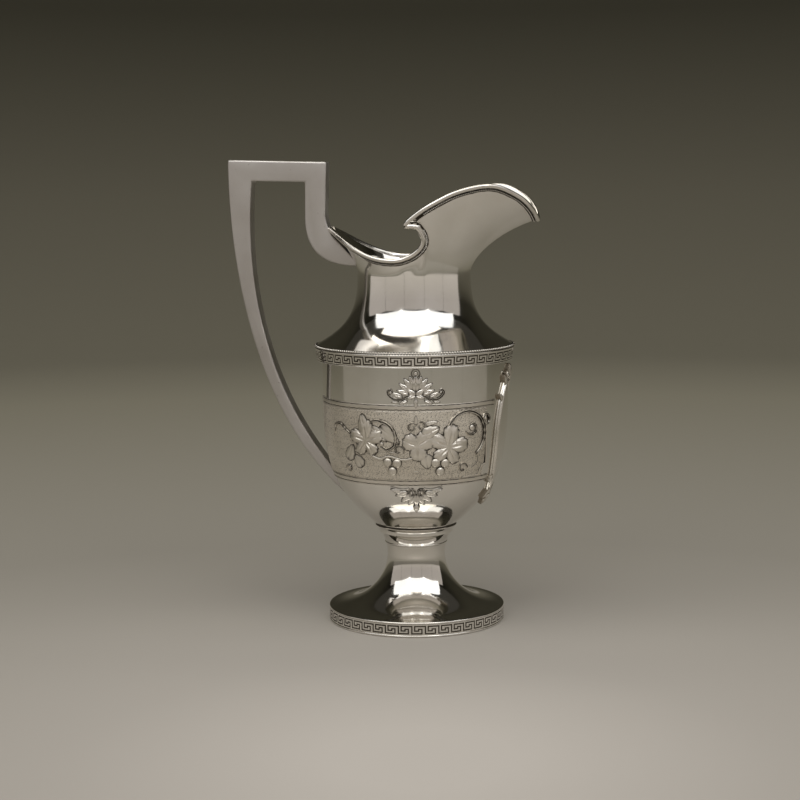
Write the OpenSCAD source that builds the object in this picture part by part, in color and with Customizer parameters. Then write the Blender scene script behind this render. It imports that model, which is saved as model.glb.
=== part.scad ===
// Silver water pitcher: an urn-shaped ewer on a trumpet foot, with a helmet spout and a hollow
// flat-sided handle. The origin is the centre of the foot on the table, +Z is up and +X points
// along the spout. "Right" is the side at -Y and "left" the side at +Y, as seen by the pourer.

/* [Foot] */
// Radius of the foot over its rolled key band
foot_r = 63.5; // [50:0.5:80]
// Height of the plain half-round wire the pitcher stands on
base_wire_h = 1.8; // [1.2:0.1:4]
// Height of the rolled key band round the foot
foot_key_h = 7.6; // [5:0.1:12]
// Height of the plain wire above the foot's key band
foot_top_wire_h = 1.5; // [1:0.1:4]
// Radius of the stem at its narrowest
stem_r = 20.8; // [15:0.1:28]
// Height of the stem from the top of the foot's edge to its narrowest place
stem_rise = 37; // [25:0.5:60]
// Height of the cove from the narrowest place up to the collar
cove_rise = 15.6; // [8:0.1:30]

/* [Collar] */
// Radius of the collar's lower edge, where the cove ends
collar_low_r = 26.4; // [24:0.1:34]
// Radius of the collar's upper edge, where the bowl starts
collar_top_r = 29.4; // [26:0.1:38]
// Height of the collar
collar_h = 5.9; // [4:0.1:12]
// Height of the seam wire between the collar and the bowl
seam_wire_h = 1.1; // [0.8:0.1:3]

/* [Bowl] */
// Radius of the bowl at its top
bowl_r = 66.2; // [55:0.1:85]
// Height of the bowl from the seam wire to the shoulder band
bowl_h = 118.4; // [100:0.5:170]
// Thickness of the sheet in the bowl, the upper body and the foot
wall = 0.9; // [0.7:0.1:1.6]

/* [Frieze] */
// Height of the frieze's lower border above the table
frieze_low_z = 106.4; // [104:0.5:112]
// Height of the matted panel between its two borders
panel_h = 48.8; // [40:0.5:54]
// Height of each plain border strip
border_h = 4.3; // [3:0.1:6]
// Angle from the front to the centre of each side's ornament
ornament_az = 82; // [75:1:100]
// Angle from the front to the near end of each matted panel
panel_start_az = 33; // [29:1:40]
// Angle from the front to the far end of each matted panel
panel_end_az = 170; // [150:1:172]
// How far the grape leaves stand up from the panel
leaf_relief = 2.2; // [1:0.1:4]
// Radius of one grape
grape_r = 3.2; // [2:0.1:4]

/* [Cartouche] */
// Half the height of the oval frame, over its outer edge
cartouche_half_h = 46; // [38:0.5:50]
// Half the width of the oval frame, over its outer edge
cartouche_half_w = 28; // [20:0.5:32]
// Height of the oval's centre above the table
cartouche_z = 136; // [132:0.5:142]
// Width of the moulded frame
frame_w = 4; // [3:0.1:6]

/* [Shoulder band] */
// Radius of the band at its top edge
band_top_r = 71.6; // [70:0.1:90]
// Radius of the band at its bottom edge
band_low_r = 69.8; // [68:0.1:88]
// Height of the plain fillet under the key band
low_fillet_h = 1.2; // [0.8:0.1:3]
// Height of the rolled key band
shoulder_key_h = 7.4; // [5:0.1:12]
// Height of the plain fillet over the key band
top_fillet_h = 1; // [0.8:0.1:3]
// Diameter of the beaded wire on top of the band
bead_d = 1.8; // [1.2:0.1:3]

/* [Neck and mouth] */
// Radius of the neck at its narrowest
neck_r = 40.4; // [34:0.1:50]
// Height of the shoulder and neck, from the band to the foot of the spout
neck_rise = 49; // [40:0.5:65]
// How far the spout's tip reaches in front of the neck's axis
spout_reach = 88; // [75:0.5:110]
// Height of the spout's highest point above the foot of the spout
spout_rise = 62; // [50:0.5:80]
// How far the mouth flares past the neck on each side
mouth_flare = 7; // [4:0.1:12]
// How far the mouth's back lip reaches behind the neck's axis
back_reach = 61; // [54:0.5:75]
// Diameter of the moulded wire along the rim
rim_d = 3.6; // [2:0.1:5]

/* [Handle] */
// Depth of the handle over its two side plates
handle_d = 15; // [10:0.5:24]
// Thickness of the sheet that the handle is built from
handle_wall = 0.9; // [0.7:0.1:1.6]
// Distance from the pitcher's axis to the back of the handle's top
handle_back = 132.5; // [110:0.5:160]
// Distance from the pitcher's axis to the front of the handle's top
handle_front = 61; // [60:0.5:70]
// Height of the handle's top over the foot of the spout
handle_rise = 82; // [66:0.5:110]
// Height on the bowl of the handle's lowest point
handle_low_z = 93; // [90:0.5:100]
// How much lower the top bar stands at its front end
bar_drop = 2; // [0:0.1:4]
// Thickness of the handle's top bar
bar_h = 15; // [10:0.5:22]
// Width of the handle's back leg at its top
back_leg_w = 17.3; // [12:0.1:24]
// Width of the handle's front leg at its top
front_leg_w = 15.8; // [10:0.1:20]

/* [Hidden] */

silver = [0.80, 0.79, 0.76];
dark_silver = [0.55, 0.54, 0.51];
satin_silver = [0.68, 0.66, 0.64];
round_fn = 96;
wire_fn = 24;
gap = 0.1; // the solder line under an applied piece
foot_edge_w = 2.2; // depth of the wires and the band round the foot
key_inset = 0.5; // how far a key band lies behind the wires beside it

foot_edge_h = base_wire_h + foot_key_h + foot_top_wire_h;
stem_z = foot_edge_h + stem_rise;
collar_z = stem_z + cove_rise;
bowl_z = collar_z + collar_h + seam_wire_h;
band_z = bowl_z + bowl_h;
band_h = low_fillet_h + shoulder_key_h + top_fillet_h + bead_d;
shoulder_z = band_z + band_h;
mouth_z = shoulder_z + neck_rise;

// Points of a cubic curve, and one point of a curve with a weighted middle
function bez3(a, b, c, d, t) =
    pow(1 - t, 3) * a + 3 * t * pow(1 - t, 2) * b + 3 * t * t * (1 - t) * c + t * t * t * d;
function conic(a, b, c, w, t) =
    let (p = pow(1 - t, 2), q = 2 * w * t * (1 - t), r = t * t) (p * a + q * b + r * c) / (p + q + r);
function catmull(a, b, c, d, t) =
    0.5 * ((2 * b) + (c - a) * t + (2 * a - 5 * b + 4 * c - d) * t * t
    + (3 * b - a - 3 * c + d) * t * t * t);
// A smooth curve through a list of points, with a given point before and after the list
function curve(list, n, before, after) =
    let (all = concat([before], list, [after]), last = len(list) - 2)
    [for (k = [0 : n * (last + 1)]) let (i = min(floor(k / n), last), t = k / n - i)
        catmull(all[i], all[i + 1], all[i + 2], all[i + 3], t)];
function open_curve(list, n) = curve(list, n, list[0], list[len(list) - 1]);

// An open outline moved sideways by d, with its corners kept sharp
function unit(v) = v / norm(v);
function left_of(v) = [-v[1], v[0]];
function moved(path, d) = [for (i = [0 : len(path) - 1])
    let (a = unit(path[max(i, 1)] - path[max(i, 1) - 1]),
         b = unit(path[min(i + 1, len(path) - 1)] - path[min(i, len(path) - 2)]),
         m = unit(left_of(a) + left_of(b)))
    path[i] + m * d / (m * left_of(a))];
function reversed(list) = [for (i = [len(list) - 1 : -1 : 0]) list[i]];

// A closed skin between two grids of points: rows go up, columns go round or across
module skin(front, back, closed_round) {
    rows = len(front);
    cols = len(front[0]);
    n = rows * cols;
    last = closed_round ? cols : cols - 1;
    points = concat([for (r = front) for (p = r) p], [for (r = back) for (p = r) p]);
    walls = [for (i = [0 : rows - 2]) for (j = [0 : last - 1])
        let (a = i * cols + j, b = i * cols + (j + 1) % cols, c = b + cols, d = a + cols)
        each [[a, c, b], [a, d, c], [n + a, n + b, n + c], [n + a, n + c, n + d]]];
    ends = [for (j = [0 : last - 1])
        let (a = j, b = (j + 1) % cols, c = (rows - 1) * cols + j, d = (rows - 1) * cols + (j + 1) % cols)
        each [[a, b, n + b], [a, n + b, n + a], [c, n + d, d], [c, n + c, n + d]]];
    sides = closed_round ? [] : [for (i = [0 : rows - 2])
        let (a = i * cols, b = a + cols, c = a + cols - 1, d = c + cols)
        each [[a, n + b, b], [a, n + a, n + b], [c, d, n + d], [c, n + d, n + c]]];
    polyhedron(points, concat(walls, ends, sides), convexity = 8);
}

// The bowl's side: its curve's two handles lie this far inside the top radius, at these shares of
// the height. The radius at a height is found by halving on the curve.
bowl_bend_in = [2.2, 0.6];
bowl_bend_up = [0.245, 0.375];
bowl_curve = [[collar_top_r, bowl_z],
    [bowl_r - bowl_bend_in[0], bowl_z + bowl_bend_up[0] * bowl_h],
    [bowl_r - bowl_bend_in[1], bowl_z + bowl_bend_up[1] * bowl_h],
    [bowl_r, band_z]];
function bowl_point(t) = bez3(bowl_curve[0], bowl_curve[1], bowl_curve[2], bowl_curve[3], t);
halvings = 18;
function bowl_t(z, low = 0, high = 1, n = halvings) =
    let (m = (low + high) / 2)
    n == 0 ? m : bowl_point(m)[1] < z ? bowl_t(z, m, high, n - 1) : bowl_t(z, low, m, n - 1);
function bowl_radius(z) = bowl_point(bowl_t(z))[0];

// A place on the bowl: az degrees round from the front, z up the axis, h proud of the surface
function on_bowl(az, z, h) =
    let (t = bowl_t(z), p = bowl_point(t), ahead = bowl_point(min(t + 0.01, 1)),
         behind = bowl_point(min(t, 0.99)), d = unit(ahead - behind), r = p[0] + h * d[1])
    [r * cos(az), r * sin(az), p[1] - h * d[0]];
// The same, from millimetres across and up from a place on the bowl
function beside(az, z, across, up, h) =
    let (z2 = z + up) on_bowl(az + across / bowl_radius(z2) * 180 / PI, z2, h);

// A domed petal on the bowl: outline [across, up] round its centre, raised to relief in the middle,
// with rings of points at these shares of the outline
petal_fall = 0.75; // share of the relief lost from the middle to the edge
module petal(az, z, outline, relief, base = gap, ring_at = [1, 0.55, 0.05]) {
    n = len(outline);
    function height(share) = base + relief * (1 - petal_fall * share * share);
    function face(k, top) = [for (p = outline)
        beside(az, z, p[0] * ring_at[k], p[1] * ring_at[k], top ? height(ring_at[k]) : base)];
    rings = len(ring_at);
    points = concat([for (k = [0 : rings - 1]) each face(k, true)],
        [for (k = [0 : rings - 1]) each face(k, false)]);
    m = n * rings;
    faces = [for (k = [0 : rings - 2]) for (j = [0 : n - 1])
        let (a = k * n + j, b = k * n + (j + 1) % n, c = b + n, d = a + n)
        each [[a, c, b], [a, d, c], [m + a, m + b, m + c], [m + a, m + c, m + d]]];
    rim = [for (a = [0 : n - 1]) let (b = (a + 1) % n) each [[a, b, m + b], [a, m + b, m + a]]];
    top = [for (j = [n - 1 : -1 : 0]) (rings - 1) * n + j];
    bottom = [for (j = [0 : n - 1]) m + (rings - 1) * n + j];
    polyhedron(points, concat(faces, rim, [top, bottom]), convexity = 6);
}

// Outlines for petals, counter-clockwise: a round, a pointed leaf and a vine leaf with lobes
function oval(a, b, n = 16) = [for (i = [0 : n - 1]) [a * cos(360 * i / n), b * sin(360 * i / n)]];
function turned(list, angle) = [for (p = list)
    [p[0] * cos(angle) - p[1] * sin(angle), p[0] * sin(angle) + p[1] * cos(angle)]];
function blade(length, width, angle, n = 14) = turned([for (i = [0 : n - 1])
    let (a = 360 * i / n) [length * cos(a), width * sin(a) * (1 - 0.35 * cos(a))]], angle);
function vine_leaf(size, angle, lobes = 5, n = 30) = turned([for (i = [0 : n - 1])
    let (a = 360 * i / n, r = size * (0.80 + 0.20 * cos(lobes * a))) [r * cos(a), r * sin(a)]], angle);

// A raised ribbon along a line of [across, up] places on the bowl
ribbon_fall = 0.7; // share of the relief lost from its middle to its edges
module ribbon(az, z, path, width, relief) {
    across = [-1, -0.45, 0.45, 1];
    rows = [0 : len(path) - 1];
    function side(i) = left_of(unit(path[min(i + 1, len(path) - 1)] - path[max(i - 1, 0)]));
    function row(i, top) = [for (c = across)
        let (p = path[i] - side(i) * c * width / 2)
        beside(az, z, p[0], p[1], top ? gap + relief * (1 - ribbon_fall * c * c) : gap)];
    skin([for (i = rows) row(i, true)], [for (i = rows) row(i, false)], false);
}
function arc(cx, cy, r, from, to, n) = [for (i = [0 : n])
    let (a = from + (to - from) * i / n) [cx + r * cos(a), cy + r * sin(a)]];

// Solid of revolution from a list of [radius, height] points
module turned_solid(outline) rotate_extrude($fn = round_fn) polygon(outline);

// ---- Foot ----
foot_edge_r = foot_r - foot_edge_w;
module base_wire() color(silver) turned_solid([[foot_edge_r, 0], [foot_r - key_inset, 0],
    [foot_r, 0.25 * base_wire_h], [foot_r, 0.75 * base_wire_h], [foot_r - key_inset, base_wire_h],
    [foot_edge_r, base_wire_h]]);

module foot_key_band() color(dark_silver) translate([0, 0, base_wire_h])
    turned_solid([[foot_edge_r, 0], [foot_r - key_inset, 0], [foot_r - key_inset, foot_key_h],
        [foot_edge_r, foot_key_h]]);

module foot_top_wire() color(silver) translate([0, 0, base_wire_h + foot_key_h])
    turned_solid([[foot_edge_r, 0], [foot_r - 0.6 * key_inset, 0], [foot_r, 0.4 * foot_top_wire_h],
        [foot_r - 0.8 * key_inset, foot_top_wire_h], [foot_edge_r, foot_top_wire_h]]);

// Outside of the foot from its edge to the collar: the trumpet, then the cove
trumpet_steps = 24;
trumpet_weight = 0.7;
trumpet_corner = [stem_r + 0.8, foot_edge_h + 0.2];
cove_steps = 10;
cove_weight = 0.9;
cove_corner = [stem_r, stem_z + 0.62 * cove_rise];
foot_curve = concat(
    [for (i = [0 : trumpet_steps]) conic([foot_edge_r, foot_edge_h], trumpet_corner,
        [stem_r, stem_z], trumpet_weight, i / trumpet_steps)],
    [for (i = [1 : cove_steps]) conic([stem_r, stem_z], cove_corner,
        [collar_low_r, collar_z], cove_weight, i / cove_steps)]);
module foot() color(silver) turned_solid(concat(
    [[foot_edge_r, base_wire_h]], foot_curve,
    [[collar_low_r - wall, collar_z]],
    reversed(moved(foot_curve, wall)),
    [[foot_edge_r - wall, base_wire_h]]));

// A thin wire round the cove, cut to lie against it
stem_ring_d = 1.6;
stem_ring_r = stem_r + 1;
stem_ring_z = stem_z + 0.55 * cove_rise;
cut_low_z = stem_z - 1;
cut_high_z = collar_z - 0.5;
module stem_ring() color(silver) difference() {
    translate([0, 0, stem_ring_z]) rotate_extrude($fn = round_fn) translate([stem_ring_r, 0])
        circle(d = stem_ring_d, $fn = wire_fn);
    turned_solid(concat([[0, cut_low_z]],
        [for (p = moved(foot_curve, -gap)) if (p[1] > cut_low_z && p[1] < cut_high_z) p],
        [[0, cut_high_z]]));
}

collar_steps = 8;
module stem_collar() color(silver) translate([0, 0, collar_z])
    turned_solid(concat([[collar_low_r - wall, 0]],
        [for (i = [0 : collar_steps]) conic([collar_low_r, 0], [collar_low_r + 0.3, 0.7 * collar_h],
            [collar_top_r, collar_h], 1, i / collar_steps)],
        [[collar_top_r - 2 * wall, collar_h]]));

seam_round = 0.4; // how far the seam wire's half-round face stands out
module seam_wire() color(dark_silver) translate([0, 0, collar_z + collar_h])
    turned_solid([[collar_top_r - 2 * wall, 0], [collar_top_r - seam_round, 0],
        [collar_top_r, seam_wire_h / 2], [collar_top_r - seam_round, seam_wire_h],
        [collar_top_r - 2 * wall, seam_wire_h]]);

// ---- Bowl ----
bowl_steps = 40;
bowl_side = [for (i = [0 : bowl_steps]) bowl_point(i / bowl_steps)];
module bowl() color(silver) turned_solid(concat([[0, bowl_z]], bowl_side,
    [[bowl_r - wall, band_z]],
    reversed([for (p = moved(bowl_side, wall)) if (p[1] > bowl_z + wall && p[1] < band_z) p]),
    [[0, bowl_z + wall]]));
module bowl_envelope(h = gap) turned_solid(concat([[0, bowl_z]], moved(bowl_side, -h), [[0, band_z]]));

// ---- Frieze ----
panel_z = frieze_low_z + border_h;
panel_top_z = panel_z + panel_h;
strip_steps = 10;
border_proud = 0.7;
panel_proud = 0.35;
// A strip of sheet laid on the bowl from one height to another over part of a turn
module laid_strip(z0, z1, proud, from_az, to_az) {
    outline = [for (i = [0 : strip_steps])
        let (z = z0 + (z1 - z0) * i / strip_steps) [bowl_radius(z), z]];
    rotate([0, 0, from_az]) rotate_extrude(angle = to_az - from_az, $fn = round_fn)
        polygon(concat([for (p = outline) p + [gap, 0]], reversed([for (p = outline) p + [proud, 0]])));
}
border_az = cartouche_half_w / bowl_r * 180 / PI + 1;
handle_clear = 1; // space between the lower border's ends and the handle
handle_root_az = 180 - asin((handle_d / 2 + handle_clear) / bowl_radius(frieze_low_z));
module lower_border(from_az, to_az) color(silver)
    laid_strip(frieze_low_z, panel_z, border_proud, from_az, to_az);
module lower_border_right() lower_border(-handle_root_az, -border_az);
module lower_border_left() lower_border(border_az, handle_root_az);
module upper_border() color(silver)
    laid_strip(panel_top_z, panel_top_z + border_h, border_proud, border_az, 360 - border_az);
module frieze_panel(from_az, to_az) color(dark_silver)
    laid_strip(panel_z, panel_top_z, panel_proud, from_az, to_az);
module frieze_panel_right() frieze_panel(-panel_end_az, -panel_start_az);
module frieze_panel_left() frieze_panel(panel_start_az, panel_end_az);

// The vine ornament of the right side; the left side is its mirror image. Places are degrees round
// from the ornament's middle, towards the front, and millimetres up from the middle of the panel.
relief_base = panel_proud + gap;
frieze_mid = panel_z + panel_h / 2;
vine_leaves = [[0.5, 0, 11, 100], [19, -1.5, 12.5, 72], [-32, 3, 14, 100]]; // place, size, tilt
buds = [[7, -13, 4.5, 3, 80, 0.5], [-45, -7, 6, 3.4, 70, 0.33],
    [-37, -12.5, 4.5, 2.8, 120, 0.33]]; // place, half length, half width, tilt, share of the relief
bunches = [[-15, -12.5], [14.5, -13]];
tendrils = [[31, 6.5, 14.5, -60, 200, 2.4, 1.3], [-20, 6, 9, -80, 130, 2.4, 1.3],
    [-54, 9, 5.5, 20, 220, 1.4, 0.8], [-2, 2, 15, 222, 300, 1.5, 0.8]]; // place, r, arc, width, relief
tendril_step = 18; // degrees of a tendril's arc between two rows
module leaves() color(silver) {
    for (l = vine_leaves)
        petal(l[0] - ornament_az, frieze_mid + l[1], vine_leaf(l[2], l[3]), leaf_relief, relief_base);
    for (b = buds)
        petal(b[0] - ornament_az, frieze_mid + b[1], blade(b[2], b[3], b[4]), leaf_relief * b[5],
            relief_base);
}
bunch_shape = [[-1.05, 0.2], [1.05, 0], [0, -1.9]]; // places of the three grapes, in grape radii
module grape_bunch(az, z) for (p = bunch_shape)
    petal(az + p[0] * grape_r / bowl_radius(z) * 180 / PI, z + p[1] * grape_r,
        oval(grape_r - gap, grape_r - gap, 12), grape_r * 0.9, relief_base);
module grapes() color(silver) for (b = bunches) grape_bunch(b[0] - ornament_az, frieze_mid + b[1]);
module vines() color(silver) for (t = tendrils)
    ribbon(t[0] - ornament_az, frieze_mid + t[1],
        arc(0, 0, t[2], t[3], t[4], ceil((t[4] - t[3]) / tendril_step)), t[5], t[6] + panel_proud);

// The palmette over the frieze and the pendant under it: blades in pairs, [across, up] from its foot
palmette_z = panel_top_z + border_h + 6;
palmette_arm = [[2, -1.5], [9, 1.5], [15, -0.5], [20, 1.2]];
palmette_relief = 0.9;
module palmette() color(silver) {
    petal(-ornament_az, palmette_z + 15.5, oval(3, 3), palmette_relief);
    petal(-ornament_az, palmette_z + 7.5, blade(4.8, 2, 90), 1.1);
    for (side = [-1, 1]) {
        petal(-ornament_az + side * 4.4, palmette_z + 7.5, blade(6.2, 2.3, 90 - side * 24),
            palmette_relief);
        ribbon(-ornament_az, palmette_z,
            open_curve([for (p = palmette_arm) [side * p[0], p[1]]], 3), 1.6, 0.8);
    }
}
pendant_z = frieze_low_z - 6;
pendant_knob_h = 3;
module pendant() color(silver) {
    petal(-ornament_az, pendant_z - 9.5, oval(2.6, 2.8), pendant_knob_h);
    for (side = [-1, 1]) {
        petal(-ornament_az + side * 11, pendant_z + 1.6, blade(7.2, 2.3, -side * 20), palmette_relief);
        petal(-ornament_az + side * 4, pendant_z - 2.4, blade(4.4, 1.9, 90 + side * 30), palmette_relief);
    }
}
module frieze_leaves_right() leaves();
module frieze_leaves_left() mirror([0, 1, 0]) leaves();
module frieze_grapes_right() grapes();
module frieze_grapes_left() mirror([0, 1, 0]) grapes();
module frieze_vines_right() vines();
module frieze_vines_left() mirror([0, 1, 0]) vines();
module palmette_right() palmette();
module palmette_left() mirror([0, 1, 0]) palmette();
module pendant_right() pendant();
module pendant_left() mirror([0, 1, 0]) pendant();

// ---- Cartouche ----
plate_proud = 1.2;
frame_proud = 3;
frame_edge = 0.8; // thickness of the frame at its outer edge
frame_at = [0, 0.25, 0.75, 1]; // shares of the frame's width where its section turns
cartouche_n = 48;
function oval_row(inset, h) = [for (i = [0 : cartouche_n - 1])
    let (a = 360 * i / cartouche_n)
    beside(0, cartouche_z, (cartouche_half_w - inset) * cos(a), (cartouche_half_h - inset) * sin(a), h)];
frame_height = [frame_edge, frame_proud, frame_proud, plate_proud];
module cartouche_frame() color(silver) skin(
    [for (k = [0 : len(frame_at) - 1]) oval_row(frame_at[k] * frame_w, frame_height[k])],
    [for (share = frame_at) oval_row(share * frame_w, gap)], true);
module cartouche_plate() color(silver) petal(0, cartouche_z,
    oval(cartouche_half_w - frame_w - gap, cartouche_half_h - frame_w - gap, 40), plate_proud,
    ring_at = [1, 0.84, 0.68, 0.52, 0.36, 0.2, 0.04]);

// ---- Shoulder band ----
backing = 1.6; // depth of the band's pieces
bead_clear = 0.3; // space between the beaded wire and the shoulder
key_top_z = low_fillet_h + shoulder_key_h;
fillet_top_z = key_top_z + top_fillet_h;
function band_r(z) = band_low_r + (band_top_r - band_low_r) * z / band_h;
bead_r = band_r(fillet_top_z) - bead_d / 3; // the beaded wire lies on the top fillet
shoulder_r = bead_r - bead_d / 2 - bead_clear;
function backing_r(z) = band_low_r - backing + (shoulder_r - band_low_r + backing) * z / band_h;
module band_piece(z0, z1, proud) translate([0, 0, band_z]) turned_solid([
    [backing_r(z0), z0], [band_r(z0) + proud, z0], [band_r(z1) + proud, z1], [backing_r(z1), z1]]);
module band_backing() color(silver) translate([0, 0, band_z]) turned_solid([
    [bowl_r - wall, 0], [backing_r(0), 0], [shoulder_r, band_h], [shoulder_r - wall, band_h],
    [backing_r(wall) - wall, wall], [bowl_r - wall, wall]]);
module band_low_fillet() color(silver) band_piece(0, low_fillet_h, 0);
module shoulder_key_band() color(dark_silver) band_piece(low_fillet_h, key_top_z, -key_inset);
module band_top_fillet() color(silver) band_piece(key_top_z, fillet_top_z, 0);
module bead_wire() color(silver) translate([0, 0, shoulder_z - bead_d / 2])
    rotate_extrude($fn = round_fn) translate([bead_r, 0]) circle(d = bead_d, $fn = wire_fn);

// ---- Shoulder, neck and spout ----
mouth_half_w = neck_r + mouth_flare;
// Stations of the rim on the right side, from the spout's tip to the back lip. Each gives the rim's
// place as shares of the reach, half width and rise, the angle on the neck that the wall rises
// from, and the pull on the wall just under the rim in millimetres (ahead, inward, up).
rim_stations = [
    [1.00, 0.00, 0.62, 0, -24, 0, -7],
    [0.96, 0.31, 0.75, 12, -21, 6, -9],
    [0.86, 0.55, 0.89, 24, -15, 8, -13],
    [0.67, 0.78, 1.00, 38, -8, 8, -17],
    [0.42, 0.90, 0.94, 52, -2, 7, -17],
    [0.21, 0.97, 0.80, 63, 5, 6, -14],
    [0.08, 0.99, 0.68, 69, 10, 5, -7],
    [0.01, 1.00, 0.58, 72, 17, 4, 3],
    [0.09, 0.95, 0.56, 74, 10, 2, 1],
    [0.14, 0.90, 0.43, 77, 7, 2, -4],
    [0.11, 0.89, 0.31, 81, 4, 2, -6],
    [0.00, 0.89, 0.21, 89, 1, 2, -5],
    [-0.18, 0.89, 0.18, 105, 0, 2, -4],
    [-0.42, 0.81, 0.22, 121, 2, 2, -5],
    [-0.68, 0.58, 0.34, 142, 5, 2, -8],
    [-0.90, 0.27, 0.48, 163, 8, 1, -10],
    [-1.00, 0.00, 0.54, 180, 9, 0, -10]];
// The neighbour of the first and of the last station on the left side
function across_rim(s, full) = [s[0], -s[1], s[2], full - s[3], s[4], -s[5], s[6]];
function rim_curve(n) = curve(rim_stations, n, across_rim(rim_stations[1], 0),
    across_rim(rim_stations[len(rim_stations) - 2], 360));
rim_steps = 3;
half_rim = rim_curve(rim_steps);
around = 2 * (len(half_rim) - 1);
// Row of the half rim for column i, and its side: -1 on the right, 1 on the left
function rim_row(i) = half_rim[min(i, around - i)];
function rim_side(i) = i <= around / 2 ? 1 : -1;
function rim_place(r, side) = [r[0] * (r[0] > 0 ? spout_reach : back_reach), side * r[1] * mouth_half_w,
    mouth_z + r[2] * spout_rise];
function rim_point(i) = rim_place(rim_row(i), rim_side(i));
function rim_pull(i) = let (r = rim_row(i)) [r[4], -rim_side(i) * r[5], r[6]];
function neck_point(i, radius, z) =
    let (a = rim_side(i) * rim_row(i)[3]) [radius * cos(a), radius * sin(a), z];
// The handles of the shoulder's curve: a share of the way in to the neck, then shares of the rise
shoulder_in = 0.7;
shoulder_up = [0.235, 0.44];
function shoulder_point(t) = bez3([shoulder_r, shoulder_z],
    [shoulder_r - shoulder_in * (shoulder_r - neck_r), shoulder_z + shoulder_up[0] * neck_rise],
    [neck_r, shoulder_z + shoulder_up[1] * neck_rise], [neck_r, mouth_z], t);
// Up the wall of the spout: upright out of the neck, then along the pull into the rim's wire
wall_lift = 0.35; // share of the rise over which the wall leaves the neck upright
function spout_point(i, t) =
    let (p = neck_point(i, neck_r, mouth_z), q = rim_point(i), pull = rim_pull(i),
         edge = q + unit(pull) * rim_d / 2)
    bez3(p, p + [0, 0, wall_lift * (q[2] - mouth_z)], edge + pull, edge, t);
shoulder_rows = 8;
spout_rows = 9;
// Columns start at the spout and go counter-clockwise seen from above
upper_grid = concat(
    [for (k = [0 : shoulder_rows]) let (p = shoulder_point(k / shoulder_rows))
        [for (i = [0 : around - 1]) neck_point(i, p[0], p[1])]],
    [for (k = [1 : spout_rows]) [for (i = [0 : around - 1]) spout_point(i, k / spout_rows)]]);
function grid_normal(g, k, i) =
    let (n = len(g[0]), up = g[min(k + 1, len(g) - 1)][i] - g[max(k - 1, 0)][i],
         round = g[k][(i + 2) % n] - g[k][(i + n - 2) % n])
    unit(cross(round, up));
upper_inner = [for (k = [0 : len(upper_grid) - 1]) [for (i = [0 : around - 1])
    let (p = upper_grid[k][i] - wall * grid_normal(upper_grid, k, i))
    k == 0 ? [p[0], p[1], shoulder_z] : p]];
module upper_body() color(silver) skin(upper_grid, upper_inner, true);

// ---- Rim ----
// A round wire along a line of points, with a normal for each point and capped ends
module wire(points, normals, r, sides = 8) {
    n = len(points);
    rings = [for (i = [0 : n - 1])
        let (t = unit(points[min(i + 1, n - 1)] - points[max(i - 1, 0)]),
             u = unit(cross(t, normals[i])), v = cross(u, t))
        for (k = [0 : sides - 1])
            let (a = 360 * k / sides) points[i] + r * (u * cos(a) + v * sin(a))];
    walls = [for (i = [0 : n - 2]) for (k = [0 : sides - 1])
        let (a = i * sides + k, b = i * sides + (k + 1) % sides, c = b + sides, d = a + sides)
        each [[a, b, c], [a, c, d]]];
    first_cap = [for (k = [sides - 1 : -1 : 0]) k];
    last_cap = [for (k = [0 : sides - 1]) (n - 1) * sides + k];
    polyhedron(rings, concat(walls, [first_cap, last_cap]), convexity = 8);
}
// Rows of the half rim: the wings' wire runs to the scroll's tip on both sides, and the dip's wire
// from there to the handle
scroll_station = 7;
scroll_tip = scroll_station * rim_steps;
wing_wire_rows = [for (i = [-scroll_tip : scroll_tip]) i];
rim_end = len(half_rim) - 3;
dip_wire_rows = [for (i = [scroll_tip : rim_end]) i];
function fine_point(i) = rim_place(half_rim[abs(i)], i < 0 ? 1 : -1);
function fine_pull(i) = let (r = half_rim[abs(i)]) [r[4], (i < 0 ? -1 : 1) * r[5], r[6]];
// At row i of the rim: the way along it, the way out of the sheet and the way down into the sheet
function rim_along(i) = unit(fine_point(i + 1) - fine_point(i - 1));
function rim_out(i) = let (p = fine_point(i), away = unit([p[0], p[1], 0]), t = rim_along(i))
    unit(away - (away * t) * t);
function rim_down(i) = let (d = cross(rim_along(i), rim_out(i))) d * sign(d * fine_pull(i));
module rim_wire(rows) wire([for (i = rows) fine_point(i)], [for (i = rows) rim_out(i)], rim_d / 2);
module rim_moulding() color(silver) {
    rim_wire(wing_wire_rows);
    rim_wire(dip_wire_rows);
    mirror([0, 1, 0]) rim_wire(dip_wire_rows);
}
// The fine beaded wire under the moulding. It stops a few rows short of the scroll's tip.
rim_bead_d = 1.1;
rim_bead_out = 0.5; // how far the beaded wire clears the sheet
tip_skip = 5;
function bead_point(i) = fine_point(i) + rim_down(i) * (rim_d / 2 + rim_bead_d / 2 + gap)
    + rim_out(i) * (rim_bead_d / 2 + rim_bead_out);
bead_wing_rows = [for (i = [-scroll_tip + tip_skip : scroll_tip - tip_skip]) i];
bead_dip_rows = [for (i = [scroll_tip + tip_skip : rim_end - 1]) i];
module bead_row(rows) wire([for (i = rows) bead_point(i)], [for (i = rows) rim_out(i)], rim_bead_d / 2, 6);
module rim_bead_wire() color(silver) {
    bead_row(bead_wing_rows);
    bead_row(bead_dip_rows);
    mirror([0, 1, 0]) bead_row(bead_dip_rows);
}

// ---- Handle ----
handle_top_z = mouth_z + handle_rise;
leg_back_x = -handle_back + back_leg_w;
leg_front_x = -handle_front - front_leg_w;
inner_top_z = handle_top_z - bar_h;
low_joint_h = 18; // height of the handle's joint on the bowl
inner_low_z = handle_low_z + low_joint_h;
lip_z = mouth_z + 0.52 * spout_rise; // the back lip's height, from the rim's last station
root_z = mouth_z + 6;
// Both ends run a little into the body, where they are trimmed to it
sink = 2;
function sunk(z) = [-bowl_radius(z) + sink, z - 1.2 * sink];
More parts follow.
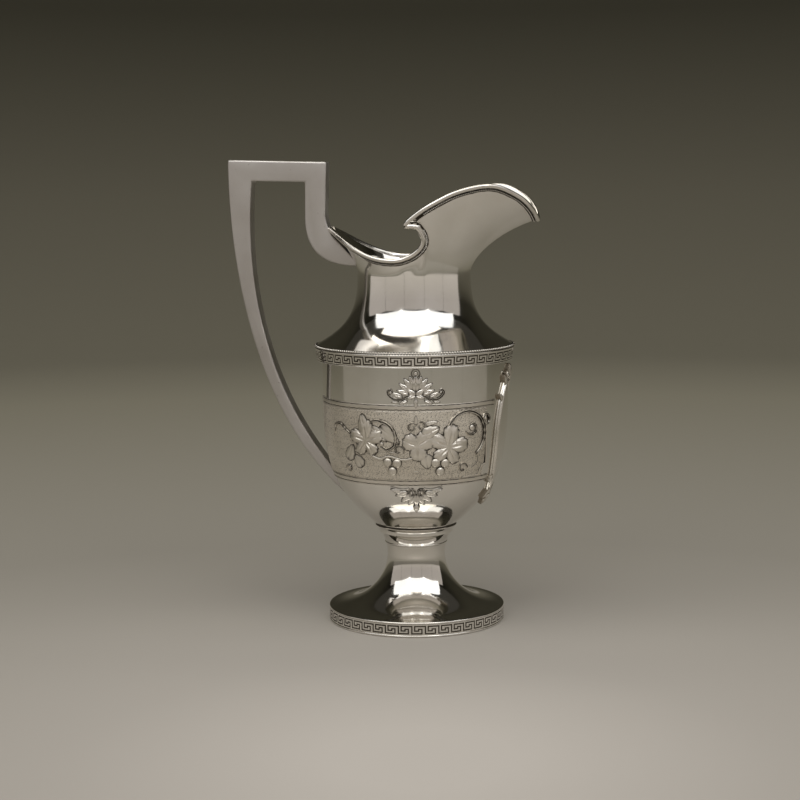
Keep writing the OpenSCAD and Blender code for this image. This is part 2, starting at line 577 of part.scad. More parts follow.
// The back leg's two lines: shares of the leg's place and of its rise for the curves' handles
leg_steps = 23;
function leg_line(from, to, out, up) =
    let (low = from[1] + 1.2 * sink, rise = to[1] - low)
    [for (i = [0 : leg_steps]) bez3(from, [out[0] * to[0], low + up[0] * rise],
        [out[1] * to[0], low + up[1] * rise], to, i / leg_steps)];
// Outside line of the handle, from the bowl up, over the bar and down to the back lip
lip_steps = 6;
front_x = -handle_front - 1.4;
lip_bend_z = lip_z + 12;
outer_path = concat(
    leg_line(sunk(handle_low_z), [-handle_back, handle_top_z], [0.875, 1.007], [0.23, 0.68]),
    [[-handle_front, handle_top_z - bar_drop], [front_x, lip_bend_z]],
    [for (i = [1 : lip_steps]) conic([front_x, lip_bend_z], [front_x, lip_z + 3],
        [-back_reach + 5, lip_z - 6], 1, i / lip_steps)]);
// Inside line, from the bowl up the back leg, along the bar and down the front leg to the neck
root_steps = 14;
inner_front_x = leg_front_x - 0.4;
inner_path = concat(
    leg_line(sunk(inner_low_z), [leg_back_x, inner_top_z], [0.938, 1.057], [0.281, 0.647]),
    [[leg_front_x, inner_top_z - bar_drop / 2]],
    [for (i = [0 : root_steps]) bez3([inner_front_x, lip_z + 8], [inner_front_x, lip_z - 16],
        [leg_front_x + 13, root_z], [-neck_r + 3, root_z + 0.3], i / root_steps)]);
// The back wall of the neck as a plain block, to trim the handle's root with
root_cols = 5;
root_front_x = -14;
above_lip = [0.6, 0, 6];
module root_block() {
    cols = [around / 2 - root_cols : around / 2 + root_cols];
    rows = [for (k = [0 : spout_rows]) [for (i = cols) spout_point(i, k / spout_rows)]];
    all_rows = concat(rows, [[for (p = rows[spout_rows]) p + above_lip]]);
    skin(all_rows, [for (r = all_rows) [for (p = r) [root_front_x, p[1], p[2]]]], false);
}
module trimmed() difference() {
    children();
    bowl_envelope();
    root_block();
}
module handle_slice(outline, y0, y1) trimmed()
    translate([0, y1, 0]) rotate([90, 0, 0]) linear_extrude(y1 - y0) polygon(outline);
face_outline = concat(outer_path, reversed(inner_path));
side_y = handle_d / 2;
inside_y = side_y - handle_wall;
module handle_plate_right() color(satin_silver) handle_slice(face_outline, -side_y, -inside_y);
module handle_plate_left() color(satin_silver) handle_slice(face_outline, inside_y, side_y);
module handle_strip(path, thickness) color(satin_silver)
    handle_slice(concat(path, reversed(moved(path, thickness))), -inside_y, inside_y);
module handle_outer_strip() handle_strip(outer_path, -handle_wall);
module handle_inner_strip() handle_strip(inner_path, handle_wall);

base_wire();
foot_key_band();
foot_top_wire();
foot();
stem_ring();
stem_collar();
seam_wire();
bowl();
lower_border_right();
lower_border_left();
upper_border();
frieze_panel_right();
frieze_panel_left();
frieze_leaves_right();
frieze_leaves_left();
frieze_grapes_right();
frieze_grapes_left();
frieze_vines_right();
frieze_vines_left();
palmette_right();
palmette_left();
pendant_right();
pendant_left();
cartouche_plate();
cartouche_frame();
band_backing();
band_low_fillet();
shoulder_key_band();
band_top_fillet();
bead_wire();
upper_body();
rim_moulding();
rim_bead_wire();
handle_plate_right();
handle_plate_left();
handle_outer_strip();
handle_inner_strip();
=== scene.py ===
"""Silver water pitcher: an urn-shaped ewer on a trumpet foot, with a helmet spout and a hollow handle.

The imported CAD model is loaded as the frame. Each sub-assembly is a class that models its pieces in
the frame's own place, gives them a silver finish and hands them over to the frame. Lengths inside
the classes are millimetres, and every mesh is in metres. +Z is up, +X points along the spout.
"""

import logging
import math
from contextlib import contextmanager
from dataclasses import dataclass, field
from enum import Enum
from typing import Callable, Iterator, Optional, Sequence

import bpy
import numpy as np
from bpy.types import Material, Object
from mathutils import Matrix, Vector, noise


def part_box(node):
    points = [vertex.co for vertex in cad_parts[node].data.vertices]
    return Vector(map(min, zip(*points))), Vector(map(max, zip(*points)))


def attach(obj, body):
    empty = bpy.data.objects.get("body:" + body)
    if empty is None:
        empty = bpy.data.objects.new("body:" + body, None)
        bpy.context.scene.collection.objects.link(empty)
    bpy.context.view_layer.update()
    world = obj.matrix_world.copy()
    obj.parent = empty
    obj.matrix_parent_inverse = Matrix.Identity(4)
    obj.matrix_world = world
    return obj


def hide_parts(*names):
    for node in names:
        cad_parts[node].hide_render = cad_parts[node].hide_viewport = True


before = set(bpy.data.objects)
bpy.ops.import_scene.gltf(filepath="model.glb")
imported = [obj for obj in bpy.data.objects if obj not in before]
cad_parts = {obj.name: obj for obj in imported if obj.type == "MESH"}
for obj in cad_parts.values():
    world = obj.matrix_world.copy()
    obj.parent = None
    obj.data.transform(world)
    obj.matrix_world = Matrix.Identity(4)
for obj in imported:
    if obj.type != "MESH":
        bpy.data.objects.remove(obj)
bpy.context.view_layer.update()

LOG = logging.getLogger("pitcher")
MM = 0.001
TURN = 2 * math.pi
SEAM = 1e-6
ROUND_STEPS = 192
Point = tuple[float, float]
Grid = np.ndarray


class Slot(Enum):
    """The record's material slots, listed with each piece."""

    POLISHED = "polished_silver"
    CHASED = "chased_silver"
    MATTED = "matted_silver"
    SATIN = "satin_silver"


# ---------------------------------------------------------------- curves


def unit(v: Grid) -> Grid:
    """Gives vectors the length 1, along the last axis."""
    v = np.asarray(v, float)
    return v / np.maximum(np.linalg.norm(v, axis=-1, keepdims=True), 1e-12)


def bezier(a: Sequence, b: Sequence, c: Sequence, d: Sequence, n: int) -> Grid:
    """Draws a cubic curve.

    Args:
        a: First point.
        b: First handle.
        c: Second handle.
        d: Last point.
        n: Number of steps.

    Returns:
        The n + 1 points of the curve.
    """
    a, b, c, d = (np.asarray(p, float) for p in (a, b, c, d))
    t = np.linspace(0, 1, n + 1)[:, None]
    return (1 - t) ** 3 * a + 3 * t * (1 - t) ** 2 * b + 3 * t * t * (1 - t) * c + t**3 * d


def conic(a: Sequence, b: Sequence, c: Sequence, weight: float, n: int) -> Grid:
    """Draws a conic arc.

    Args:
        a: First point.
        b: Middle handle.
        c: Last point.
        weight: Pull of the middle handle.
        n: Number of steps.

    Returns:
        The n + 1 points of the arc.
    """
    a, b, c = (np.asarray(p, float) for p in (a, b, c))
    t = np.linspace(0, 1, n + 1)[:, None]
    p, q, r = (1 - t) ** 2, 2 * weight * t * (1 - t), t * t
    return (p * a + q * b + r * c) / (p + q + r)


def through(
    points: Sequence, n: int, before: Optional[Sequence] = None, after: Optional[Sequence] = None
) -> Grid:
    """Draws a smooth curve through points.

    Args:
        points: The points it passes.
        n: Steps between two of them.
        before: The neighbour before the first point.
        after: The neighbour after the last point.

    Returns:
        The points of the curve.
    """
    pts = np.asarray(points, float)
    first = pts[0] if before is None else before
    last = pts[-1] if after is None else after
    all_pts = np.vstack([[first], pts, [last]])
    out = []
    for k in range(n * (len(pts) - 1) + 1):
        i = min(k // n, len(pts) - 2)
        t = k / n - i
        a, b, c, d = all_pts[i : i + 4]
        square, cube = 2 * a - 5 * b + 4 * c - d, 3 * b - a - 3 * c + d
        out.append(0.5 * (2 * b + (c - a) * t + square * t * t + cube * t**3))
    return np.array(out)


def arc(centre: Point, radius: float, start: float, end: float, n: int, grow: float = 1.0) -> Grid:
    """Draws an arc or, where the radius grows or shrinks, a volute.

    Args:
        centre: Its centre.
        radius: Its first radius.
        start: First angle in degrees.
        end: Last angle in degrees.
        n: Number of steps.
        grow: Last radius as a share of the first.

    Returns:
        The n + 1 points.
    """
    a = np.radians(np.linspace(start, end, n + 1))
    r = radius * np.linspace(1, grow, n + 1)
    return np.stack([centre[0] + r * np.cos(a), centre[1] + r * np.sin(a)], 1)


def offset(path: Grid, d: float) -> Grid:
    """Moves an open outline sideways.

    Args:
        path: The outline's points.
        d: How far, to the left of its direction.

    Returns:
        The moved points.
    """
    step = unit(np.diff(path, axis=0))
    before, after = np.vstack([step[:1], step]), np.vstack([step, step[-1:]])
    left_a = np.stack([-before[:, 1], before[:, 0]], 1)
    left_b = np.stack([-after[:, 1], after[:, 0]], 1)
    middle = unit(left_a + left_b)
    return path + middle * (d / np.sum(middle * left_a, 1))[:, None]


# ---------------------------------------------------------------- the bench


def deselect_all() -> None:
    """Leaves nothing selected, so that an operator acts on the new piece alone."""
    if bpy.context.object and bpy.context.object.mode != "OBJECT":
        bpy.ops.object.mode_set(mode="OBJECT")
    bpy.ops.object.select_all(action="DESELECT")


def take(piece: Object) -> None:
    """Makes one piece the selected and active one.

    Args:
        piece: The piece.
    """
    deselect_all()
    piece.select_set(True)
    bpy.context.view_layer.objects.active = piece


@contextmanager
def editing(piece: Object) -> Iterator[None]:
    """Opens a piece in edit mode with all of it selected, and closes it again.

    Args:
        piece: The piece.

    Returns:
        A context in which the piece is edited.
    """
    take(piece)
    bpy.ops.object.mode_set(mode="EDIT")
    bpy.ops.mesh.select_mode(type="VERT")
    bpy.ops.mesh.select_all(action="SELECT")
    try:
        yield
    finally:
        bpy.ops.object.mode_set(mode="OBJECT")


def primitive(name: str, add: Callable, **sizes: object) -> Object:
    """Adds a primitive and puts its place into its mesh.

    Args:
        name: The new piece's name.
        add: The operator that adds it.
        sizes: The operator's own settings, in metres.

    Returns:
        The new piece.
    """
    deselect_all()
    add(**sizes)
    piece = bpy.context.object
    piece.name = name
    piece.data.name = name
    bpy.ops.object.transform_apply(location=True, rotation=True, scale=True)
    return piece


def apply_modifier(piece: Object, kind: str, **settings: object) -> None:
    """Adds a modifier to a piece and applies it.

    Args:
        piece: The piece.
        kind: The modifier's type.
        settings: Its settings.
    """
    take(piece)
    modifier = piece.modifiers.new(kind.title(), kind)
    for key, value in settings.items():
        setattr(modifier, key, value)
    bpy.ops.object.modifier_apply(modifier=modifier.name)


def smooth(piece: Object, angle: float = 35) -> Object:
    """Shades a piece smooth, apart from edges sharper than the angle in degrees.

    Args:
        piece: The piece.
        angle: The sharpest edge that is shaded smooth, in degrees.

    Returns:
        The same piece.
    """
    take(piece)
    bpy.ops.object.shade_smooth_by_angle(angle=math.radians(angle))
    return piece


def close_up(piece: Object, merge: float = SEAM) -> Object:
    """Merges a piece's seams and turns its faces outwards.

    Args:
        piece: The piece.
        merge: How near two points must lie to be merged, in metres.

    Returns:
        The same piece.
    """
    with editing(piece):
        bpy.ops.mesh.remove_doubles(threshold=merge)
        bpy.ops.mesh.normals_make_consistent(inside=False)
    return piece


def points_of(piece: Object) -> Grid:
    """Reads a piece's points in millimetres.

    Args:
        piece: The piece.

    Returns:
        The points, n x 3.
    """
    co = np.empty(len(piece.data.vertices) * 3)
    piece.data.vertices.foreach_get("co", co)
    return co.reshape(-1, 3) / MM


def set_points(piece: Object, points: Grid) -> None:
    """Writes a piece's points, given in millimetres."""
    piece.data.vertices.foreach_set("co", (np.asarray(points) * MM).ravel())
    piece.data.update()


def mark_recess(piece: Object, values: Grid) -> None:
    """Stores how far each point lies in a recess, from 0 to 1, for the finish to darken: oxide in the hollows
    and painted shade.
    """
    attribute = piece.data.attributes.new("recess", "FLOAT", "POINT")
    attribute.data.foreach_set("value", np.clip(values, 0, 1).astype(np.float32))


def drawn(name: str, line: Sequence[Point], y: float = 0.0) -> Object:
    """Extrudes one point along a line of (x, z) points, as the wire that a piece grows from.

    Args:
        name: The new piece's name.
        line: The points in millimetres.
        y: Where the line lies across.

    Returns:
        The wire.
    """
    start = (line[0][0] * MM, y * MM, line[0][1] * MM)
    piece = primitive(name, bpy.ops.mesh.primitive_plane_add, size=MM, location=start)
    with editing(piece):
        bpy.ops.mesh.merge(type="CENTER")
        for (x0, z0), (x1, z1) in zip(line, line[1:]):
            step = ((x1 - x0) * MM, 0, (z1 - z0) * MM)
            bpy.ops.mesh.extrude_region_move(TRANSFORM_OT_translate={"value": step})
    return piece


def spun(name: str, outline: Sequence[Point], closed: bool = True, steps: int = ROUND_STEPS) -> Object:
    """Turns a piece: its outline is spun round the axis.

    Args:
        name: The new piece's name.
        outline: (radius, height) points in millimetres.
        closed: Whether the outline returns to its first point.
        steps: Steps of the turn.

    Returns:
        The turned piece.
    """
    piece = drawn(name, [*outline, outline[0]] if closed else outline)
    with editing(piece):
        bpy.ops.mesh.spin(steps=steps, angle=TURN, center=(0, 0, 0), axis=(0, 0, 1))
    return smooth(close_up(piece))


def sheet(name: str, rows: Grid, seam: bool = False) -> Object:
    """Makes a grid primitive and gives its points the places of a surface.

    Args:
        name: The new piece's name.
        rows: rows x columns x 3 places in millimetres; columns x rows has the outward normal.
        seam: Whether the last column meets the first.

    Returns:
        The surface, open at its edges.
    """
    rows = np.concatenate([rows, rows[:, :1]], 1) if seam else rows
    n, m = rows.shape[:2]
    steps = {"x_subdivisions": m - 1, "y_subdivisions": n - 1}
    piece = primitive(name, bpy.ops.mesh.primitive_grid_add, size=MM, **steps)
    set_points(piece, rows.reshape(-1, 3))
    if seam:
        with editing(piece):
            bpy.ops.mesh.remove_doubles(threshold=SEAM)
    return piece


def bar(name: str, rings: Grid) -> Object:
    """Makes a closed bar from rings of points, with filled ends.

    Args:
        name: The new piece's name.
        rings: rings x points x 3 places in millimetres.

    Returns:
        The closed bar.
    """
    piece = sheet(name, rings, seam=True)
    with editing(piece):
        bpy.ops.mesh.select_all(action="DESELECT")
        bpy.ops.mesh.select_non_manifold(extend=False)
        bpy.ops.mesh.fill_holes(sides=0)
        bpy.ops.mesh.select_all(action="SELECT")
        bpy.ops.mesh.normals_make_consistent(inside=False)
    return piece


def ball(name: str, across: float) -> Object:
    """Makes a round bead of a diameter, centred on the origin."""
    return primitive(name, bpy.ops.mesh.primitive_ico_sphere_add, subdivisions=2, radius=0.5 * across * MM)


def joined(name: str, pieces: Sequence[Object]) -> Object:
    """Joins pieces into one and names it.

    Args:
        name: The new piece's name.
        pieces: The pieces to join.

    Returns:
        The joined piece.
    """
    deselect_all()
    for piece in pieces:
        piece.select_set(True)
    bpy.context.view_layer.objects.active = pieces[0]
    bpy.ops.object.join()
    pieces[0].name = name
    pieces[0].data.name = name
    return pieces[0]


def copied(piece: Object, name: str) -> Object:
    """Copies a piece with a mesh of its own.

    Args:
        piece: The piece to copy.
        name: The copy's name.

    Returns:
        The copy.
    """
    twin = piece.copy()
    twin.data = piece.data.copy()
    twin.name = name
    twin.data.name = name
    bpy.context.collection.objects.link(twin)
    return twin


def mirrored(piece: Object, name: str) -> Object:
    """Copies a piece to the other side of the XZ plane, with its faces outwards.

    Args:
        piece: The piece to mirror.
        name: The copy's name.

    Returns:
        The mirrored copy.
    """
    twin = copied(piece, name)
    set_points(twin, points_of(twin) * (1, -1, 1))
    with editing(twin):
        bpy.ops.mesh.flip_normals()
    return twin


def strung(name: str, bead: Object, places: Grid, crowns: Grid) -> Object:
    """Copies a bead to many places as one piece, darkened all round but on its crown with oxide and painted
    shade.

    Args:
        name: The new piece's name.
        bead: The bead, centred on the origin. It is used up.
        places: n x 3 places in millimetres.
        crowns: n x 3 unit vectors from each place to the bead's crown.

    Returns:
        The row of shapes.
    """
    co = points_of(bead)
    faces = [tuple(p.vertices) for p in bead.data.polygons]
    co_all = [p + co for p in places]
    crown_share = [co @ crown / np.linalg.norm(co[0]) for crown in crowns]
    faces_all = [tuple(v + i * len(co) for v in f) for i in range(len(places)) for f in faces]
    mesh = bpy.data.meshes.new(name)
    mesh.from_pydata((np.concatenate(co_all) * MM).tolist(), [], faces_all)
    bpy.data.objects.remove(bead)
    piece = bpy.data.objects.new(name, mesh)
    bpy.context.collection.objects.link(piece)
    # Painted shade, partly oxide: each bead is bright on its crown and darkens towards where it meets its
    # neighbours and its wire.
    mark_recess(piece, np.clip(1.15 - 1.5 * np.concatenate(crown_share), 0, 1))
    return smooth(piece, 60)


def hand_over(piece: Object, slot: Slot, finishes: Sequence[Material], *nodes: str) -> Object:
    """Gives a piece its finish and its place in the frame.

    Args:
        piece: The finished piece.
        slot: The record's material slot; not used.
        finishes: The materials of its own slots, in order.
        nodes: The CAD nodes it stands for.

    Returns:
        The same piece.
    """
    piece.name = piece.data.name = f"{piece.name.split('.')[0]}_silver"
    used = [p.material_index for p in piece.data.polygons]
    piece.data.materials.clear()
    for finish in finishes:
        piece.data.materials.append(finish)
    piece.data.polygons.foreach_set("material_index", used)
    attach(piece, "root")
    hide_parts(*nodes)
    return piece


# ---------------------------------------------------------------- finishes


Colour = tuple[float, float, float]
# Dark colours for hollows: oxide that the silver has there, with painted shade laid in the same places.
OXIDE_AND_SHADE = (0.055, 0.047, 0.036)
# Brown tarnish for the cartouche frame's hollows, carrying painted shade there too.
TARNISH_AND_SHADE = (0.30, 0.265, 0.21)
PIT = (0.30, 0.26, 0.24)


@dataclass(frozen=True)
class SilverFinish:
    """One way of finishing silver: its colours, its gloss and the marks in its surface."""

    name: str
    light: Colour
    dark: Colour
    gloss: Point
    mark_scale: tuple[float, float, float] = (900, 900, 90)
    mark_depth: float = 0.02
    cloud_scale: float = 22.0
    stipple_scale: float = 0.0
    stipple_depth: float = 0.0
    pit_scale: float = 0.0
    # Colour that recesses darken to: partly oxide, partly painted shade.
    recess_colour: Optional[Colour] = None

    def material(self) -> Material:
        """Builds the node material.

        Returns:
            The material.
        """
        made = bpy.data.materials.new(self.name)
        made.use_nodes = True
        tree = made.node_tree
        tree.nodes.clear()
        new, link = tree.nodes.new, tree.links.new
        output = new("ShaderNodeOutputMaterial")
        shader = new("ShaderNodeBsdfPrincipled")
        shader.inputs["Metallic"].default_value = 1
        link(shader.outputs["BSDF"], output.inputs["Surface"])
        place = new("ShaderNodeTexCoord").outputs["Object"]

        def noise_at(scale: float, detail: float, vector: object = place, rough: float = 0.5) -> object:
            """Adds a noise texture and gives its value.

            Args:
                scale: The texture's scale.
                detail: Its detail.
                vector: The output that places it.
                rough: Its roughness.

            Returns:
                The texture's value.
            """
            texture = new("ShaderNodeTexNoise")
            texture.inputs["Scale"].default_value = scale
            texture.inputs["Detail"].default_value = detail
            texture.inputs["Roughness"].default_value = rough
            link(vector, texture.inputs["Vector"])
            return texture.outputs["Fac"]

        def ranged(
            value: object, least: float, most: float, start: float = 0.35, end: float = 0.65
        ) -> object:
            """Maps a value's start and end to the least and the most.

            Args:
                value: The value.
                least: What the start becomes.
                most: What the end becomes.
                start: The lowest value.
                end: The highest value.

            Returns:
                The new value.
            """
            mapped = new("ShaderNodeMapRange")
            for key, number in zip(("From Min", "From Max", "To Min", "To Max"), (start, end, least, most)):
                mapped.inputs[key].default_value = number
            link(value, mapped.inputs["Value"])
            return mapped.outputs["Result"]

        def mixed(factor: object, a: object, b: object) -> object:
            """Mixes two colours, each a node's or a fixed one.

            Args:
                factor: The share of the second colour.
                a: The first colour.
                b: The second colour.

            Returns:
                The mixed colour.
            """
            mix = new("ShaderNodeMix")
            mix.data_type = "RGBA"
            link(factor, mix.inputs["Factor"])
            for key, colour in ((6, a), (7, b)):
                if isinstance(colour, tuple):
                    mix.inputs[key].default_value = (*colour, 1)
                else:
                    link(colour, mix.inputs[key])
            return mix.outputs[2]

        def added(value: object, times: float, plus: object) -> object:
            """Multiplies a value and adds another to it.

            Args:
                value: The value.
                times: What the value is multiplied by.
                plus: What is added.

            Returns:
                The sum.
            """
            sum_of = new("ShaderNodeMath")
            sum_of.operation = "MULTIPLY_ADD"
            link(value, sum_of.inputs[0])
            sum_of.inputs[1].default_value = times
            link(plus, sum_of.inputs[2])
            return sum_of.outputs[0]

        def bumped(
            height: object, strength: float, distance: float, under: Optional[object] = None
        ) -> object:
            """Adds a bump, over another one where there is one, and gives its normal.

            Args:
                height: The height's value.
                strength: How strong the bump is.
                distance: Its depth in millimetres.
                under: The normal of the bump under it.

            Returns:
                The bumped normal.
            """
            bump = new("ShaderNodeBump")
            bump.inputs["Strength"].default_value = strength
            bump.inputs["Distance"].default_value = distance * MM
            link(height, bump.inputs["Height"])
            if under:
                link(under, bump.inputs["Normal"])
            return bump.outputs["Normal"]

        clouds = noise_at(self.cloud_scale, 4)
        colour = mixed(ranged(clouds, 0, 1), self.dark, self.light)
        gloss = ranged(noise_at(self.cloud_scale * 3, 3), *self.gloss)
        stretch = new("ShaderNodeMapping")
        stretch.inputs["Scale"].default_value = self.mark_scale
        link(place, stretch.inputs["Vector"])
        marks = noise_at(1.0, 2, stretch.outputs["Vector"])
        normal = bumped(marks, self.mark_depth, 0.2)
        if self.stipple_scale:
            dots = new("ShaderNodeTexVoronoi")
            dots.inputs["Scale"].default_value = self.stipple_scale
            link(place, dots.inputs["Vector"])
            normal = bumped(dots.outputs["Distance"], self.stipple_depth, 0.3, normal)
            # Painted shade, partly oxide: the centre of each punch is darkened.
            colour = mixed(ranged(dots.outputs["Distance"], 0.45, 0, 0.05, 0.5), colour, self.dark)
        if self.pit_scale:
            pits = ranged(noise_at(self.pit_scale, 2, rough=0.7), 1, 0, 0.22, 0.32)
            colour = mixed(pits, colour, PIT)
        # Recesses are darkened by the stored depth: partly oxide in the hollows, partly painted shade, with
        # fine noise as uneven stain.
        if self.recess_colour:
            depth = new("ShaderNodeAttribute")
            depth.attribute_name = "recess"
            stain_and_shade = ranged(added(noise_at(600, 3), 0.35, depth.outputs["Fac"]), 0, 1, 0.3, 0.95)
            colour = mixed(stain_and_shade, colour, self.recess_colour)
            gloss = added(stain_and_shade, 0.3, gloss)
        link(colour, shader.inputs["Base Color"])
        link(gloss, shader.inputs["Roughness"])
        link(normal, shader.inputs["Normal"])
        return made


def finish(name: str, light: Colour, dark: Colour, gloss: Point, **marks: object) -> Material:
    """A field that holds a built finish, made when the finishes are.

    Args:
        name: The finish's name.
        light: Its colour where it is worn bright.
        dark: Its colour where it is dull.
        gloss: Its least and most roughness.
        marks: The other settings of the finish.

    Returns:
        The field.
    """
    return field(default_factory=SilverFinish(name, light, dark, gloss, **marks).material)


@dataclass
class Finishes:
    """The pitcher's finishes, as built materials."""

    polished: Material = finish("polished_silver", (0.90, 0.88, 0.84), (0.80, 0.775, 0.72), (0.06, 0.12))
    bright: Material = finish(
        "bright_silver", (0.88, 0.85, 0.80), (0.74, 0.71, 0.65), (0.14, 0.22),
        recess_colour=OXIDE_AND_SHADE, mark_depth=0.03,
    )
    # The cartouche frame's finish: its hollows darken with tarnish and painted shade.
    framed: Material = finish(
        "framed_silver", (0.86, 0.83, 0.77), (0.72, 0.69, 0.62), (0.2, 0.3), recess_colour=TARNISH_AND_SHADE
    )
    chased: Material = finish(
        "chased_silver", (0.88, 0.84, 0.77), (0.70, 0.66, 0.58), (0.30, 0.42),
        recess_colour=OXIDE_AND_SHADE, mark_depth=0.05,
    )
    matted: Material = finish(
        "matted_silver", (0.93, 0.885, 0.80), (0.74, 0.69, 0.60), (0.42, 0.55),
        recess_colour=OXIDE_AND_SHADE, stipple_scale=1500, stipple_depth=0.55,
    )
    satin: Material = finish(
        "satin_silver", (0.62, 0.60, 0.58), (0.54, 0.515, 0.49), (0.36, 0.46),
        mark_scale=(700, 700, 60), mark_depth=0.12, pit_scale=260,
    )
    # Near-black finish for the key lines, the seam wire and the bead core: oxide there, and painted shade in
    # these grooves and crevices.
    oxidised: Material = finish("oxidised_silver", (0.12, 0.105, 0.085), OXIDE_AND_SHADE, (0.4, 0.55), mark_depth=0.1)


# ---------------------------------------------------------------- sizes from the frame


def low(node: str) -> Vector:
    """The lowest corner of a CAD node in millimetres."""
    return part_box(node)[0] / MM


def high(node: str) -> Vector:
    """The highest corner of a CAD node in millimetres."""
    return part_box(node)[1] / MM


@dataclass
class BowlSurface:
    """The outside of the bowl, on which the chasing lies."""

    top_r: float = field(default_factory=lambda: high("bowl").x)
    low_r: float = field(default_factory=lambda: high("stem_collar").x)
    low_z: float = field(default_factory=lambda: low("bowl").z)
    top_z: float = field(default_factory=lambda: high("bowl").z)

    bend_in: Point = (2.2, 0.6)
    bend_up: Point = (0.245, 0.375)

    def curve(self, steps: int) -> Grid:
        """The bowl's side as a curve of a number of steps.

        Args:
            steps: Number of steps.

        Returns:
            The (radius, height) points.
        """
        rise = self.top_z - self.low_z
        bends = zip(self.bend_in, self.bend_up)
        handles = [(self.top_r - inward, self.low_z + up * rise) for inward, up in bends]
        return bezier((self.low_r, self.low_z), *handles, (self.top_r, self.top_z), steps)

    def __post_init__(self) -> None:
        """Draws the side's curve once."""
        self.side = self.curve(400)
        self.normal = unit(np.gradient(self.side, axis=0))[:, ::-1] * (1, -1)

    def radius(self, z: Grid) -> Grid:
        """The radius at a height."""
        return np.interp(z, self.side[:, 1], self.side[:, 0])

    def place(self, azimuth: Grid, z: Grid, proud: Grid) -> Grid:
        """Finds places on the bowl.

        Args:
            azimuth: Degrees round from the front.
            z: Heights in millimetres.
            proud: Distance above the surface.

        Returns:
            The places, n x 3.
        """
        out = np.interp(z, self.side[:, 1], self.normal[:, 0])
        up = np.interp(z, self.side[:, 1], self.normal[:, 1])
        r = self.radius(z) + proud * out
        a = np.radians(azimuth)
        return np.stack([r * np.cos(a), r * np.sin(a), z + proud * up], -1)

    def wrap(self, piece: Object, azimuth: float, z: float) -> Object:
        """Lays a flat piece, drawn across, up and proud, on the bowl round a centre.

        Args:
            piece: The piece.
            azimuth: The centre's place, in degrees round from the front.
            z: The centre's height.

        Returns:
            The same piece.
        """
        co = points_of(piece)
        heights = z + co[:, 1]
        across = np.degrees(co[:, 0] / self.radius(heights))
        set_points(piece, self.place(azimuth + across, heights, co[:, 2]))
        return piece


# ---------------------------------------------------------------- foot and collar


@dataclass
class Foot:
    """The trumpet foot with its rolled key band, up to the collar under the bowl."""

    finishes: Finishes
    wall: float = 0.9
    stem_r: float = 20.8
    stem_rise: float = 37.0
    edge_step: float = 2.2
    key_units: int = 42
    key_inset: float = 0.25
    collar_low_r: float = 26.4
    ring_half: float = 0.8

    def __post_init__(self) -> None:
        """Takes the heights and radii from the frame."""
        self.foot_r = high("base_wire").x
        self.key_z = low("foot_key_band").z
        self.key_top = high("foot_key_band").z
        self.edge_z = high("foot_top_wire").z
        self.collar_z = high("foot").z
        self.stem_z = self.edge_z + self.stem_rise

    def curve(self) -> Grid:
        """The outside of the foot from its edge to the collar.

        Returns:
            The (radius, height) points.
        """
        edge = (self.foot_r - self.edge_step, self.edge_z)
        stem = (self.stem_r, self.stem_z)
        flare = conic(edge, (self.stem_r + 0.8, self.edge_z + 0.2), stem, 0.7, 48)
        cove_z = self.stem_z + 0.62 * (self.collar_z - self.stem_z)
        cove = conic(stem, (self.stem_r, cove_z), (self.collar_low_r, self.collar_z), 0.9, 20)
        return np.vstack([flare, cove[1:]])

    def build(self) -> list[Object]:
        """Builds and dresses the pieces of the foot.

        Returns:
            The dressed pieces.
        """
        f = self.finishes
        curve = self.curve()
        inner = offset(curve, self.wall)[::-1]
        edge_r = self.foot_r - self.edge_step
        outside = [(edge_r, self.key_z), *curve]
        inside = [(self.collar_low_r - self.wall, self.collar_z), *inner, (edge_r - self.wall, self.key_z)]
        shell = spun("foot_shell", [*outside, *inside])
        base = spun("base_wire", half_round(edge_r, self.foot_r, 0, self.key_z))
        top = spun("foot_top_wire", half_round(edge_r, self.foot_r, self.key_top, self.edge_z))
        key_r = self.foot_r - self.key_inset
        band = KeyBand("foot_key_band", self.key_units, (key_r, key_r), (self.key_z, self.key_top)).build()
        ring_z = (low("stem_ring").z + high("stem_ring").z) / 2
        ring_r = high("stem_ring").x - self.ring_half
        ring = spun("stem_ring", arc((ring_r, ring_z), self.ring_half, 0, 360, 12)[:-1])
        return [
            hand_over(base, Slot.POLISHED, [f.polished], "base_wire"),
            hand_over(band, Slot.CHASED, [f.polished, f.oxidised], "foot_key_band"),
            hand_over(top, Slot.POLISHED, [f.polished], "foot_top_wire"),
            hand_over(shell, Slot.POLISHED, [f.polished], "foot"),
            hand_over(ring, Slot.POLISHED, [f.polished], "stem_ring"),
        ]


def half_round(inner_r: float, outer_r: float, z0: float, z1: float, n: int = 8) -> list[Point]:
    """Draws the section of a half-round wire.

    Args:
        inner_r: Radius of its flat back.
        outer_r: Radius over its crown.
        z0: Its lower edge.
        z1: Its upper edge.
        n: Steps over the crown.

    Returns:
        The section's (radius, height) points.
    """
    half = (z1 - z0) / 2
    bulge = min(half, outer_r - inner_r)
    turn = np.linspace(-math.pi / 2, math.pi / 2, n + 1)
    crown = [(outer_r - bulge + bulge * math.cos(a), z0 + half + half * math.sin(a)) for a in turn]
    return [(inner_r, z0), *crown, (inner_r, z1)]


